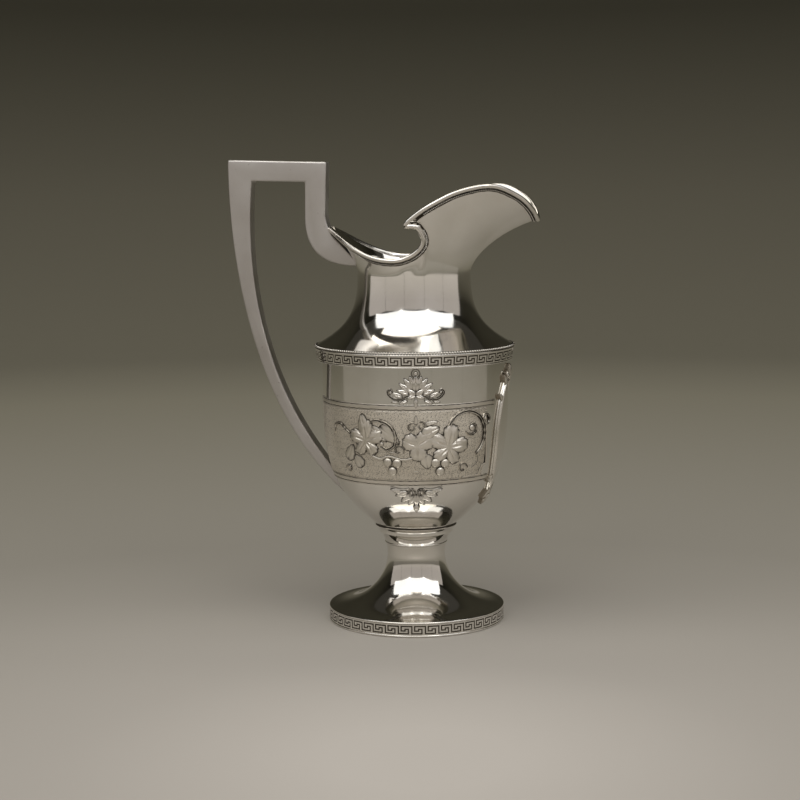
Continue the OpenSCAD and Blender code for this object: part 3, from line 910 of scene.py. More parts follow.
@dataclass
class Collar:
    """The turned collar and the seam wire that join the foot to the bowl."""

    finishes: Finishes
    wall: float = 0.9
    flare: float = 3.0

    def build(self) -> list[Object]:
        """Builds and dresses the collar and its seam wire.

        Returns:
            The dressed pieces.
        """
        z0, z1, z2 = low("stem_collar").z, high("stem_collar").z, high("seam_wire").z
        top_r = high("stem_collar").x
        low_r = top_r - self.flare
        side = conic((low_r, z0 + 0.5), (low_r + 0.3, z0 + 0.7 * (z1 - z0)), (top_r, z1 - 0.6), 1, 14)
        edge = [(top_r, z1 - 0.25), (top_r - 0.25, z1), (top_r - 2 * self.wall, z1)]
        collar = spun("stem_collar", [(low_r - self.wall, z0), (low_r - 0.5, z0), *side, *edge])
        seam = spun("seam_wire", half_round(top_r - 2 * self.wall, top_r - 0.15, z1, z2, 6))
        # The seam wire is near-black all over: oxide, and painted shade where it sits under the bowl.
        return [
            hand_over(collar, Slot.POLISHED, [self.finishes.polished], "stem_collar"),
            hand_over(seam, Slot.CHASED, [self.finishes.oxidised], "seam_wire"),
        ]


# ---------------------------------------------------------------- key band


@dataclass
class KeyBand:
    """A rolled band with a recessed key line, modelled as one unit and repeated round a turn."""

    name: str
    units: int
    radii: Point
    heights: Point
    line_w: float = 0.95
    line_h: float = 6.1
    depth: float = 0.45
    back: float = 1.3
    across: tuple[float, ...] = (0, 0.21, 0.50, 0.74)
    up: tuple[float, ...] = (0, 0.38, 0.62, 1)

    def key_line(self, pitch: float, rise: float) -> list[Point]:
        """The key's line over one unit, and into the next.

        Args:
            pitch: The width of one unit.
            rise: The height of the line.

        Returns:
            The corners of the line.
        """
        x0, x1, x2, x3 = self.across
        y0, y1, y2, y3 = self.up
        shares = [(x0, y3), (x0, y0), (x3, y0), (x3, y2), (x2, y2), (x2, y1), (x1, y1), (x1, y3), (1, y3)]
        return [(x * pitch, y * rise) for x, y in shares]

    def build(self) -> Object:
        """Builds the band.

        Returns:
            The band.
        """
        z0, z1 = self.heights
        mean_r = sum(self.radii) / 2
        pitch = TURN * mean_r / self.units
        rise = self.line_h - self.line_w
        line_z = (z0 + z1) / 2 - rise / 2
        half = self.line_w / 2
        xs = {round(x * pitch + s, 4) for x in self.across for s in (-half, half)} | {round(pitch - half, 4)}
        zs = {round(line_z + y * rise + s, 4) for y in self.up for s in (-half, half)} | {z0, z1}
        rows = np.array([[(x, z, 0.0) for x in sorted(xs)] for z in sorted(zs)])
        unit_piece = sheet(self.name, rows)
        path = self.key_line(pitch, rise)
        centres = [(face.center.x / MM, face.center.y / MM - line_z) for face in unit_piece.data.polygons]
        chosen = [any(near_segment(x, z, a, b, half) for a, b in zip(path, path[1:])) for x, z in centres]
        with editing(unit_piece):
            bpy.ops.mesh.select_mode(type="FACE")
            bpy.ops.mesh.select_all(action="DESELECT")
        unit_piece.data.polygons.foreach_set("select", chosen)
        unit_piece.data.materials.append(None)
        unit_piece.data.materials.append(None)
        unit_piece.active_material_index = 1
        bpy.ops.object.mode_set(mode="EDIT")
        # The sunk key line takes the second, near-black slot: oxide and painted shade in the groove.
        bpy.ops.mesh.extrude_region_move(TRANSFORM_OT_translate={"value": (0, 0, -self.depth * MM)})
        bpy.ops.object.material_slot_assign()
        bpy.ops.object.mode_set(mode="OBJECT")
        apply_modifier(
            unit_piece, "ARRAY", count=self.units, use_relative_offset=False, use_constant_offset=True,
            constant_offset_displace=(pitch * MM, 0, 0), use_merge_vertices=True, merge_threshold=SEAM,
        )
        co = points_of(unit_piece)
        share = (co[:, 1] - z0) / (z1 - z0)
        r = self.radii[0] + (self.radii[1] - self.radii[0]) * share + co[:, 2]
        a = co[:, 0] / pitch * TURN / self.units
        set_points(unit_piece, np.stack([r * np.cos(a), r * np.sin(a), co[:, 1]], 1))
        with editing(unit_piece):
            bpy.ops.mesh.remove_doubles(threshold=10 * SEAM)
        apply_modifier(unit_piece, "SOLIDIFY", thickness=self.back * MM, offset=-1)
        return smooth(unit_piece, 30)


def near_segment(x: float, y: float, a: Point, b: Point, reach: float) -> bool:
    """Whether a place lies on an upright or level stroke from a to b.

    Args:
        x: The place across.
        y: The place up.
        a: One end of the stroke.
        b: Its other end.
        reach: Half the stroke's width.

    Returns:
        True on the stroke.
    """
    (ax, ay), (bx, by) = a, b
    return min(ax, bx) - reach < x < max(ax, bx) + reach and min(ay, by) - reach < y < max(ay, by) + reach


# ---------------------------------------------------------------- bowl and shoulder band


@dataclass
class Bowl:
    """The urn-shaped bowl with the plain borders of its frieze."""

    finishes: Finishes
    surface: BowlSurface
    wall: float = 0.9
    border_proud: float = 0.45
    line_w: float = 0.55
    line_depth: float = 0.35

    def build(self) -> list[Object]:
        """Builds and dresses the bowl and the three border strips.

        Returns:
            The dressed pieces.
        """
        s = self.surface
        side = s.curve(72)
        inner = offset(side, self.wall)[::-1]
        inner = inner[inner[:, 1] > s.low_z + self.wall]
        outline = [(0, s.low_z), *side, *inner, (0, s.low_z + self.wall)]
        bowl = spun("bowl", outline, closed=False)
        pieces = [hand_over(bowl, Slot.POLISHED, [self.finishes.polished], "bowl")]
        for node in ("lower_border_right", "lower_border_left", "upper_border"):
            strip = self.border(node, border_ends(node), (low(node).z, high(node).z))
            pieces.append(hand_over(strip, Slot.CHASED, [self.finishes.chased], node))
        return pieces

    def border(self, name: str, ends: Point, heights: Point) -> Object:
        """Builds a plain strip between two sunk lines.

        Args:
            name: The strip's name.
            ends: Its first and last azimuth.
            heights: Its lower and upper edge.

        Returns:
            The strip.
        """
        z0, z1 = heights
        w = self.line_w
        top, floor = self.border_proud, self.border_proud - self.line_depth
        edge = [
            (0, 0.02), (0, top - 0.1), (0.12, top), (0.4, top), (0.45, floor), (0.35 + w, floor),
            (0.42 + w, top), (0.8 + w, top + 0.05),
        ]
        upper = [(z1 - inward, h) for inward, h in edge[::-1]]
        section = np.array([(z0 + inward, h) for inward, h in edge] + upper)
        azimuths = np.linspace(*ends, max(8, int(abs(ends[1] - ends[0]) / 2)))
        rings = [self.surface.place(np.full(len(section), a), section[:, 0], section[:, 1]) for a in azimuths]
        strip = bar(name, np.stack(rings))
        # Painted shade, partly oxide: the sunk lines and the strip's foot are darkened.
        mark_recess(strip, np.tile(section[:, 1] < top - 0.2, len(azimuths)))
        return smooth(strip, 40)


def border_ends(node: str) -> Point:
    """The first and last azimuth of a CAD strip on the bowl, in degrees, read from its points.

    Args:
        node: The CAD node's name.

    Returns:
        The two azimuths.
    """
    co = points_of(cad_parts[node])
    a = np.degrees(np.arctan2(co[:, 1], co[:, 0]))
    a = a % 360 if node == "upper_border" else a
    return float(a.min()), float(a.max())


@dataclass
class ShoulderBand:
    """The rolled key band at the widest place, between two fillets and under a beaded wire."""

    finishes: Finishes
    key_units: int = 48
    key_inset: float = 0.3
    wall: float = 0.9
    beads: int = 224
    bead_d: float = 1.8

    def build(self) -> list[Object]:
        """Builds and dresses the band's pieces.

        Returns:
            The dressed pieces.
        """
        f = self.finishes
        z0, z1 = low("band_low_fillet").z, high("band_low_fillet").z
        z2, z3 = low("band_top_fillet").z, high("band_top_fillet").z
        low_r, top_r = high("band_low_fillet").x, high("bead_wire").x
        grow = (top_r - low_r) / (high("bead_wire").z - z0)
        backing_z = high("band_backing").z
        back_r = high("bowl").x
        wall = self.wall
        outside = [(back_r - wall, z0), (low_r - 1.6, z0), (top_r - 2.1, backing_z)]
        inside = [(top_r - 3.0, backing_z), (low_r - 2.4, z0 + wall), (back_r - wall, z0 + wall)]
        backing = spun("band_backing", [*outside, *inside])
        low_fillet = spun("band_low_fillet", half_round(low_r - 1.5, low_r, z0, z1))
        key_r = tuple(low_r - self.key_inset + grow * (z - z0) for z in (z1, z2))
        key = KeyBand("shoulder_key_band", self.key_units, key_r, (z1, z2), line_h=6.0).build()
        top_fillet = spun("band_top_fillet", half_round(low_r - 0.4, low_r + grow * (z3 - z0), z2, z3))
        bead_r, bead_z = top_r - self.bead_d / 2, high("bead_wire").z - self.bead_d / 2
        turn = np.linspace(0, TURN, self.beads, endpoint=False)
        away = np.stack([np.cos(turn), np.sin(turn), np.zeros(self.beads)], 1)
        places, crowns = bead_r * away + (0, 0, bead_z), unit(away + (0, 0, 0.6))
        row = strung("bead_wire", ball("bead", self.bead_d), places, crowns)
        core = spun("bead_core", half_round(bead_r - 0.9, bead_r + 0.3, bead_z - 0.85, bead_z + 0.35, 5))
        # The core between the beads is near-black: oxide and painted shade between the beads.
        set_index(core, 1)
        beads = joined("bead_wire", [row, core])
        return [
            hand_over(backing, Slot.POLISHED, [f.polished], "band_backing"),
            hand_over(low_fillet, Slot.POLISHED, [f.polished], "band_low_fillet"),
            hand_over(key, Slot.CHASED, [f.polished, f.oxidised], "shoulder_key_band"),
            hand_over(top_fillet, Slot.POLISHED, [f.polished], "band_top_fillet"),
            hand_over(beads, Slot.POLISHED, [f.bright, f.oxidised], "bead_wire"),
        ]


def set_index(piece: Object, index: int) -> None:
    """Gives all faces of a piece one material index, with slots enough to keep it.

    Args:
        piece: The piece.
        index: The material index.
    """
    while len(piece.data.materials) <= index:
        piece.data.materials.append(None)
    for face in piece.data.polygons:
        face.material_index = index


# ---------------------------------------------------------------- shoulder, neck, spout and rim

# Stations of the rim on one side, from the spout's tip to the back lip: the rim's place as shares
# of the reach, half width and rise, the angle on the neck that the wall rises from, and the pull on
# the wall just under the rim in millimetres (ahead, inward, up).
RIM_STATIONS = [
    (1.00, 0.00, 0.62, 0, -24, 0, -7),
    (0.96, 0.31, 0.75, 12, -21, 6, -9),
    (0.86, 0.55, 0.89, 24, -15, 8, -13),
    (0.67, 0.78, 1.00, 38, -8, 8, -17),
    (0.42, 0.90, 0.94, 52, -2, 7, -17),
    (0.21, 0.97, 0.80, 63, 5, 6, -14),
    (0.08, 0.99, 0.68, 69, 10, 5, -7),
    (0.01, 1.00, 0.58, 72, 17, 4, 3),
    (0.09, 0.95, 0.56, 74, 10, 2, 1),
    (0.14, 0.90, 0.43, 77, 7, 2, -4),
    (0.11, 0.89, 0.31, 81, 4, 2, -6),
    (0.00, 0.89, 0.21, 89, 1, 2, -5),
    (-0.18, 0.89, 0.18, 105, 0, 2, -4),
    (-0.42, 0.81, 0.22, 121, 2, 2, -5),
    (-0.68, 0.58, 0.34, 142, 5, 2, -8),
    (-0.90, 0.27, 0.48, 163, 8, 1, -10),
    (-1.00, 0.00, 0.54, 180, 9, 0, -10),
]
SCROLL_TIP = 7


@dataclass
class Mouth:
    """The lines of the neck, the spout and the rim."""

    neck_r: float = 40.4
    spout_reach: float = 88.0
    back_reach: float = 61.0
    spout_rise: float = 62.0
    mouth_flare: float = 7.0
    neck_rise: float = 49.0
    tuck: float = 0.3
    fine: int = 8

    def __post_init__(self) -> None:
        """Takes the shoulder from the frame and draws the rim once round."""
        self.shoulder_z = low("upper_body").z
        self.mouth_z = self.shoulder_z + self.neck_rise
        self.shoulder_r = high("band_backing").x
        first, last = np.array(RIM_STATIONS[1], float), np.array(RIM_STATIONS[-2], float)
        flip = np.array([1, -1, 1, -1, 1, -1, 1])
        full = np.array([0, 0, 0, 360, 0, 0, 0])
        self.left = through(RIM_STATIONS, self.fine, first * flip, last * flip + full)
        self.right = self.left * flip
        self.round = np.vstack([self.left, self.right[1:-1][::-1]])

    def rim_place(self, rows: Grid) -> Grid:
        """The rim's places for rows of station values; the left side is at +Y.

        Args:
            rows: Rows of station values.

        Returns:
            The places, n x 3.
        """
        reach = np.where(rows[:, 0] > 0, self.spout_reach, self.back_reach)
        half_w = self.neck_r + self.mouth_flare
        height = self.mouth_z + rows[:, 2] * self.spout_rise
        return np.stack([rows[:, 0] * reach, rows[:, 1] * half_w, height], 1)

    def neck_place(self, rows: Grid, radius: float, z: float) -> Grid:
        """The places on the turned part of the neck that the wall's columns rise from."""
        a = np.radians(rows[:, 3])
        return np.stack([radius * np.cos(a), radius * np.sin(a), np.full(len(rows), z)], 1)

    def pull(self, rows: Grid) -> Grid:
        """The pull on the wall under the rim."""
        return np.stack([rows[:, 4], -rows[:, 5], rows[:, 6]], 1)

    def wall_rows(self, shoulder_rows: int = 26, spout_rows: int = 30) -> Grid:
        """The outside of the upper body, as rows that go up and columns that go round.

        Args:
            shoulder_rows: Steps up the shoulder.
            spout_rows: Steps up the spout.

        Returns:
            The rows, each of places.
        """
        inward, z0 = self.shoulder_r - self.neck_r, self.shoulder_z
        shoulder = bezier(
            (self.shoulder_r, z0),
            (self.shoulder_r - 0.7 * inward, z0 + 0.235 * self.neck_rise),
            (self.neck_r, z0 + 0.44 * self.neck_rise),
            (self.neck_r, self.mouth_z),
            shoulder_rows,
        )
        rows = [self.neck_place(self.round, r, z) for r, z in shoulder]
        root, pull = self.neck_place(self.round, self.neck_r, self.mouth_z), self.pull(self.round)
        edge = self.rim_place(self.round) + unit(pull) * self.tuck
        rise = 0.35 * (self.rim_place(self.round)[:, 2] - self.mouth_z)
        lifted = root + rise[:, None] * (0, 0, 1)
        lines = zip(root, lifted, edge + pull, edge)
        columns = [bezier(*line, spout_rows)[1:] for line in lines]
        return np.concatenate([np.array(rows), np.transpose(np.array(columns), (1, 0, 2))])


@dataclass
class UpperBody:
    """The shoulder, neck and spout, raised from one sheet."""

    finishes: Finishes
    mouth: Mouth
    wall: float = 0.9

    def build(self) -> list[Object]:
        """Builds and dresses the upper body. Its columns follow the rim, which no spin can give.

        Returns:
            The dressed pieces.
        """
        body = sheet("upper_body", self.mouth.wall_rows(), seam=True)
        apply_modifier(body, "SOLIDIFY", thickness=self.wall * MM, offset=-1, use_even_offset=False)
        smooth(body, 40)
        return [hand_over(body, Slot.POLISHED, [self.finishes.polished], "upper_body")]


@dataclass
class Rim:
    """The moulded wire along the rim with its fine row of beads."""

    finishes: Finishes
    mouth: Mouth
    fillet_r: float = 1.6
    bead_d: float = 1.15
    bead_pitch: float = 1.25
    bead_out: float = 0.62
    bead_down: float = 2.45
    bare: int = 12

    def frames(self, rows: Grid) -> tuple[Grid, Grid, Grid]:
        """Finds the rim's line and the ways out of the sheet and down into it.

        Args:
            rows: Station values along the rim, in the order that goes round counter-clockwise.

        Returns:
            The places, the outward and the downward unit vectors.
        """
        place, pull = self.mouth.rim_place(rows), self.mouth.pull(rows)
        along = unit(np.gradient(place, axis=0))
        down = unit(pull - np.sum(pull * along, 1)[:, None] * along)
        return place, np.cross(down, along), down

    def section(self) -> Grid:
        """The moulding's section as (out, down) points: a half-round fillet, a groove and a bead strip.

        Returns:
            The section's points.
        """
        r = self.fillet_r
        turn = np.radians(np.linspace(200, -35, 14))
        crown = np.stack([0.15 + r * np.cos(turn), -0.25 - r * np.sin(turn)], 1)
        groove = [(0.75, 1.25), (0.45, 1.5), (0.4, 3.35), (0.7, 3.5)]
        strip = [(0.72, 3.8), (0.35, 4.05), (-0.45, 4.0), (-1.25, 1.2)]
        return np.vstack([crown, groove, strip])

    def moulding(self, name: str, rows: Grid) -> Object:
        """Draws the moulding along rows of the rim.

        Args:
            name: The new piece's name.
            rows: Rows of station values.

        Returns:
            The moulding.
        """
        place, out, down = self.frames(rows)
        section = self.section()
        rings = place[:, None] + section[None, :, :1] * out[:, None] + section[None, :, 1:] * down[:, None]
        piece = bar(name, rings)
        # Painted shade, partly oxide: the groove between the fillet and the bead strip is darkened.
        mark_recess(piece, np.tile([1.3 < d < 3.4 and o < 0.6 for o, d in section], len(rows)))
        return smooth(piece, 50)

    def bead_row(self, name: str, rows: Grid) -> Object:
        """Strings beads along rows of the rim, an even pitch apart.

        Args:
            name: The new piece's name.
            rows: Rows of station values.

        Returns:
            The row of beads.
        """
        place, out, down = self.frames(rows)
        line = place + self.bead_out * out + self.bead_down * down
        length = np.concatenate([[0], np.cumsum(np.linalg.norm(np.diff(line, axis=0), axis=1))])
        at = np.linspace(0, length[-1], max(2, int(length[-1] / self.bead_pitch)))
        both = (line, out + 0.3 * down)
        places, crowns = (np.stack([np.interp(at, length, v) for v in lines.T], 1) for lines in both)
        return strung(name, ball("rim_bead", self.bead_d), places, unit(crowns))

    def build(self) -> list[Object]:
        """Builds and dresses the moulding and the beads.

        Returns:
            The dressed pieces.
        """
        left, right, fine = self.mouth.left, self.mouth.right, self.mouth.fine
        tip, back_end = SCROLL_TIP * fine, len(left) - fine // 2
        wing = np.vstack([right[1 : tip + 1][::-1], left[: tip + 1]])
        left_dip, right_dip = left[tip:back_end], right[tip:back_end][::-1]
        mouldings = [self.moulding("rim", rows) for rows in (wing, left_dip, right_dip)]
        skip, back_skip = self.bare, self.bare // 3
        beaded = (wing[skip:-skip], left_dip[skip:-back_skip], right_dip[back_skip:-skip])
        beads = [self.bead_row("row", rows) for rows in beaded]
        rim = joined("rim_moulding", mouldings)
        row = joined("rim_bead_wire", beads)
        return [
            hand_over(rim, Slot.CHASED, [self.finishes.bright], "rim_moulding"),
            hand_over(row, Slot.POLISHED, [self.finishes.bright], "rim_bead_wire"),
        ]


# ---------------------------------------------------------------- handle


@dataclass
class Handle:
    """The hollow square handle, bevelled along its edges and scribed to the bowl and the neck."""

    finishes: Finishes
    mouth: Mouth
    surface: BowlSurface
    bevel: float = 1.5
    bar_drop: float = 2.0
    bar_h: float = 15.0
    back_leg_w: float = 17.3
    front_leg_w: float = 15.8
    low_z: float = 93.0
    low_joint_h: float = 18.0
    front: float = 61.0
    sink: float = 2.0
    drop: float = 2.4

    def outline(self) -> Grid:
        """The handle's face, from the bowl over the bar to the lip, and back along the inside.

        Returns:
            The outline's points.
        """
        m = self.mouth
        top, back, front = high("handle_plate_right").z, -low("handle_plate_right").x, self.front
        lip = m.mouth_z + 0.52 * m.spout_rise
        root = m.mouth_z + 6
        back_in, front_in = -back + self.back_leg_w, -front - self.front_leg_w
        top_in, low_in = top - self.bar_h, self.low_z + self.low_joint_h
        bowl_r = self.surface.radius
        outer_leg = bezier(
            (-bowl_r(self.low_z) + self.sink, self.low_z - self.drop),
            (-0.875 * back, self.low_z + 0.23 * (top - self.low_z)),
            (-1.007 * back, self.low_z + 0.68 * (top - self.low_z)),
            (-back, top),
            40,
        )
        front_out = -front - 1.4
        lip_curve = conic((front_out, lip + 12), (front_out, lip + 3), (-m.back_reach + 5, lip - 6), 1, 10)
        inner_leg = bezier(
            (-bowl_r(low_in) + self.sink, low_in - self.drop),
            (0.938 * back_in, low_in + 0.281 * (top_in - low_in)),
            (1.057 * back_in, low_in + 0.647 * (top_in - low_in)),
            (back_in, top_in),
            40,
        )
        root_curve = bezier(
            (front_in - 0.4, lip + 8),
            (front_in - 0.4, lip - 16),
            (front_in + 13, root),
            (-m.neck_r + 3, root + 0.3),
            24,
        )
        inside = np.vstack([inner_leg, [(front_in, top_in - self.bar_drop / 2)], root_curve])
        return np.vstack([outer_leg, [(-front, top - self.bar_drop)], lip_curve, inside[::-1]])

    def build(self) -> list[Object]:
        """Builds and dresses the handle.

        Returns:
            The dressed pieces.
        """
        half_d = high("handle_plate_left").y
        face = self.outline()
        handle = drawn("handle", [*face, face[0]], -half_d)
        with editing(handle):
            bpy.ops.mesh.remove_doubles(threshold=SEAM)
            bpy.ops.mesh.select_all(action="SELECT")
            bpy.ops.mesh.edge_face_add()
            bpy.ops.mesh.extrude_region_move(TRANSFORM_OT_translate={"value": (0, 2 * half_d * MM, 0)})
            bpy.ops.mesh.select_all(action="SELECT")
            bpy.ops.mesh.normals_make_consistent(inside=False)
        rounding = {"width": self.bevel * MM, "segments": 4, "angle_limit": math.radians(40)}
        apply_modifier(handle, "BEVEL", limit_method="ANGLE", **rounding)
        for cutter in (self.bowl_cutter(), self.neck_cutter()):
            apply_modifier(handle, "BOOLEAN", operation="DIFFERENCE", solver="EXACT", object=cutter)
            bpy.data.objects.remove(cutter)
        smooth(handle, 35)
        nodes = ("handle_plate_right", "handle_plate_left", "handle_outer_strip", "handle_inner_strip")
        return [hand_over(handle, Slot.SATIN, [self.finishes.satin], *nodes)]

    def bowl_cutter(self) -> Object:
        """The bowl as a solid plug, to scribe the handle's tip to it."""
        s = self.surface
        return spun("bowl_plug", [(0, s.low_z), *s.side[::8], (0, s.top_z)], closed=False)

    def neck_cutter(self) -> Object:
        """The space inside the neck and the mouth, to scribe the handle's root to it.

        Returns:
            The plug.
        """
        rows = self.mouth.wall_rows(8, 12)[4:]
        lid = rows[-1] + (0, 0, 12)
        return bar("neck_plug", np.concatenate([rows, [lid]]))


# ---------------------------------------------------------------- chased ornament


@dataclass
class Chaser:
    """Models flat reliefs, drawn across, up and proud in millimetres, ready to be laid on the bowl."""

    rings: int = 9

    def blank(self, name: str, segments: int) -> Object:
        """Extrudes a circle inwards ring by ring, over a skirt, as the blank of a leaf.

        Args:
            name: The blank's name.
            segments: Points round its edge.

        Returns:
            A disc of radius 1 mm whose skirt lies at -1 mm.
        """
        add = bpy.ops.mesh.primitive_circle_add
        disc = primitive(name, add, vertices=segments, radius=MM, location=(0, 0, -MM))
        with editing(disc):
            bpy.ops.mesh.extrude_region_move(TRANSFORM_OT_translate={"value": (0, 0, MM)})
            for k in range(self.rings):
                now, then = 1 - k / self.rings, 1 - (k + 1) / self.rings
                share = max(then, 0.02) / now
                bpy.ops.mesh.extrude_region_move(TRANSFORM_OT_translate={"value": (0, 0, 0)})
                bpy.ops.transform.resize(value=(share, share, 1))
            bpy.ops.mesh.merge(type="CENTER")
            bpy.ops.mesh.select_all(action="SELECT")
            bpy.ops.mesh.normals_make_consistent(inside=False)
        return disc

    def raised(
        self, name: str, centre: Point, edge: Callable, height: Callable, segments: int, base: float
    ) -> Object:
        """Shapes a blank into a leaf, petal or boss.

        Args:
            name: The piece's name.
            centre: Its centre, across and up.
            edge: Gives the outline's (x, y) from the centre for angles in radians.
            height: Gives the height above the base for shares of the radius and angles.
            segments: Points round its edge.
            base: Height of its foot above the bowl.

        Returns:
            The flat relief.
        """
        disc = self.blank(name, segments)
        co = points_of(disc)
        skirt = co[:, 2] < -0.5
        share = np.clip(np.hypot(co[:, 0], co[:, 1]), 0, 1)
        angle = np.arctan2(co[:, 1], co[:, 0])
        x, y = edge(angle)
        proud = np.where(skirt, 0, base + height(share, angle))
        set_points(disc, np.stack([centre[0] + x * share, centre[1] + y * share, proud], 1))
        top = base + height(np.zeros(1), np.zeros(1))[0]
        # Painted shade, partly oxide: the relief darkens towards its foot, and a dark shadow line is painted
        # round its outline.
        shade = 1.25 - 1.5 * (proud - base) / max(top - base, 0.3) + 0.7 * (share > 0.95)
        mark_recess(disc, np.where(skirt, 1.0, np.clip(shade, 0, 0.9)))
        return disc

    def petal(
        self, centre: Point, length: float, width: float, turn: float, relief: float, base: float = 0.0
    ) -> Object:
        """A pointed petal with a middle vein.

        Args:
            centre: Its centre, across and up.
            length: Half its length.
            width: Half its width.
            turn: Its direction in degrees.
            relief: Its height.
            base: Height of its foot above the bowl.

        Returns:
            The flat relief.
        """
        cos_t, sin_t = math.cos(math.radians(turn)), math.sin(math.radians(turn))

        def edge(a: Grid) -> tuple[Grid, Grid]:
            """A pear-shaped outline with a point.

            Args:
                a: Angles in radians.

            Returns:
                The outline's places across and up.
            """
            x = length * np.cos(a)
            y = width * np.sin(a) * (1 - 0.38 * np.cos(a)) * (1 + 0.06 * np.cos(9 * a))
            return x * cos_t - y * sin_t, x * sin_t + y * cos_t

        def height(r: Grid, a: Grid) -> Grid:
            """A dome with a sunk vein along the middle and hollows beside it.

            Args:
                r: Shares of the radius.
                a: Angles in radians.

            Returns:
                The heights.
            """
            across = r * np.abs(np.sin(a))
            vein = 0.45 * np.exp(-((across / 0.12) ** 2)) * (r > 0.05)
            return relief * np.clip(0.25 + 0.75 * (1 - r**2) ** 0.6 - vein * 0.55, 0.12, 1)

        return self.raised("petal", centre, edge, height, 40, base)

    def vine_leaf(
        self, centre: Point, size: float, turn: float, relief: float, base: float, lobes: int = 5
    ) -> Object:
        """A vine leaf with deep lobes, toothed edges and sunk veins.

        Args:
            centre: Its centre, across and up.
            size: Its radius.
            turn: Direction of its first lobe in degrees.
            relief: Its height.
            base: Height of its foot above the bowl.
            lobes: Number of lobes.

        Returns:
            The flat relief.
        """
        start = math.radians(turn)

        def lobe(a: Grid) -> Grid:
            """1 in the middle of a lobe and 0 between two."""
            return np.abs(np.cos(lobes * (a - start) / 2))

        def edge(a: Grid) -> tuple[Grid, Grid]:
            """The lobed outline.

            Args:
                a: Angles in radians.

            Returns:
                The outline's places across and up.
            """
            longer = 1 + 0.14 * np.cos(a - start)
            r = size * longer * (0.58 + 0.39 * lobe(a) ** 0.7 + 0.03 * np.cos(lobes * 6 * (a - start)))
            return r * np.cos(a), r * np.sin(a)

        def height(r: Grid, a: Grid) -> Grid:
            """Cupped lobes round a low middle, with a sunk vein along each.

            Args:
                r: Shares of the radius.
                a: Angles in radians.

            Returns:
                The heights.
            """
            between = np.arccos(np.clip(lobe(a), 0, 1)) * 2 / lobes
            vein = np.exp(-((between * r / 0.05) ** 2)) * np.clip(r * 6, 0, 1)
            ribs = 0.10 * np.cos(26 * between * r + 9 * r) * np.clip(r * 3, 0, 1)
            cup = 0.62 + 0.38 * np.sin(np.pi * np.clip(r, 0, 1) ** 1.3) * lobe(a) - 0.30 * r**6
            return relief * (cup - 0.28 * vein + ribs - 0.35 * (1 - lobe(a)) * r)

        return self.raised("leaf", centre, edge, height, 120, base)

    def tube(self, path: Grid, start_r: float, end_r: float, base: float = 0.0, flat: float = 0.8) -> Object:
        """A tapered round line laid along a path, from a bevelled curve.

        Args:
            path: (across, up) points.
            start_r: Its radius at the start.
            end_r: Its radius at the end.
            base: Height of its foot above the bowl.
            flat: Its height as a share of its width.

        Returns:
            The flat relief.
        """
        curve = bpy.data.curves.new("tube", "CURVE")
        curve.dimensions = "3D"
        curve.bevel_depth = MM
        curve.bevel_resolution = 2
        curve.use_fill_caps = True
        spline = curve.splines.new("POLY")
        spline.points.add(len(path) - 1)
        radii = np.linspace(start_r, end_r, len(path))
        for point, (x, y), r in zip(spline.points, path, radii):
            point.co = (x * MM, y * MM, 0, 1)
            point.radius = r
        tube = bpy.data.objects.new("tube", curve)
        bpy.context.collection.objects.link(tube)
        take(tube)
        bpy.ops.object.convert(target="MESH")
        tube = bpy.context.object
        co = points_of(tube)
        # Painted shade, partly oxide: the line stays bright along its top and darkens down its sides.
        mark_recess(tube, np.clip(0.9 - co[:, 2] / max(start_r, end_r), 0, 1))
        co[:, 2] = base + co[:, 2] * flat + 0.25 * flat * max(start_r, end_r)
        set_points(tube, co)
        return tube

    def scroll(
        self, path: Grid, width: float, relief: float, base: float = 0.0, ends: Point = (0.35, 0.35)
    ) -> Object:
        """A reeded scroll: two ridges either side of a sunk line, tapered to its ends.

        Args:
            path: (across, up) points.
            width: Its width in the middle.
            relief: Its height.
            base: Height of its foot above the bowl.
            ends: Shares of its width at the start and the end.

        Returns:
            The flat relief.
        """
        n = len(path)
        share = np.linspace(0, 1, n)
        taper = np.interp(share, [0, 0.18, 0.82, 1], [ends[0], 1, 1, ends[1]])
        along = unit(np.gradient(path, axis=0))
        left = np.stack([-along[:, 1], along[:, 0]], 1)
        ridge = [(-0.5, -0.4, 1), (-0.5, 0.35, 0.7), (-0.36, 0.9, 0.1), (-0.2, 0.9, 0.1), (-0.07, 0.35, 0.9)]
        section = np.array(ridge + [(-side, h, shade) for side, h, shade in ridge[::-1]])
        rings = []
        for place, to_left, t in zip(path, left, taper):
            flat = place - to_left * section[:, :1] * width * t
            proud = base + relief * section[:, 1] * (0.5 + 0.5 * t)
            rings.append(np.column_stack([flat, proud]))
        piece = bar("scroll", np.array(rings))
        # Painted shade, partly oxide: the third value of the section darkens the scroll's outer flanks and
        # its sunk middle line.
        mark_recess(piece, np.tile(section[:, 2], n))
        return piece

    def boss(self, centre: Point, radius: float, relief: float, base: float = 0.0) -> Object:
        """A round boss with a drilled eye, such as a grape or the eye of a volute.

        Args:
            centre: Its centre, across and up.
            radius: Its radius.
            relief: Its height.
            base: Height of its foot above the bowl.

        Returns:
            The flat relief.
        """
        def edge(a: Grid) -> tuple[Grid, Grid]:
            """A circle."""
            return radius * np.cos(a), radius * np.sin(a)

        def height(r: Grid, a: Grid) -> Grid:
            """A dome with a small eye on top."""
            dome, eye = np.sqrt(np.clip(1 - r**2 * 0.98, 0, 1)), 0.18 * np.exp(-((r / 0.13) ** 2))
            return relief * np.clip(dome - eye, 0, 1)

        return self.raised("boss", centre, edge, height, 28, base)


def aside(angle: float, side: int) -> float:
    """An angle in degrees on side 1, or its mirror image on side -1."""
    return angle if side > 0 else 180 - angle


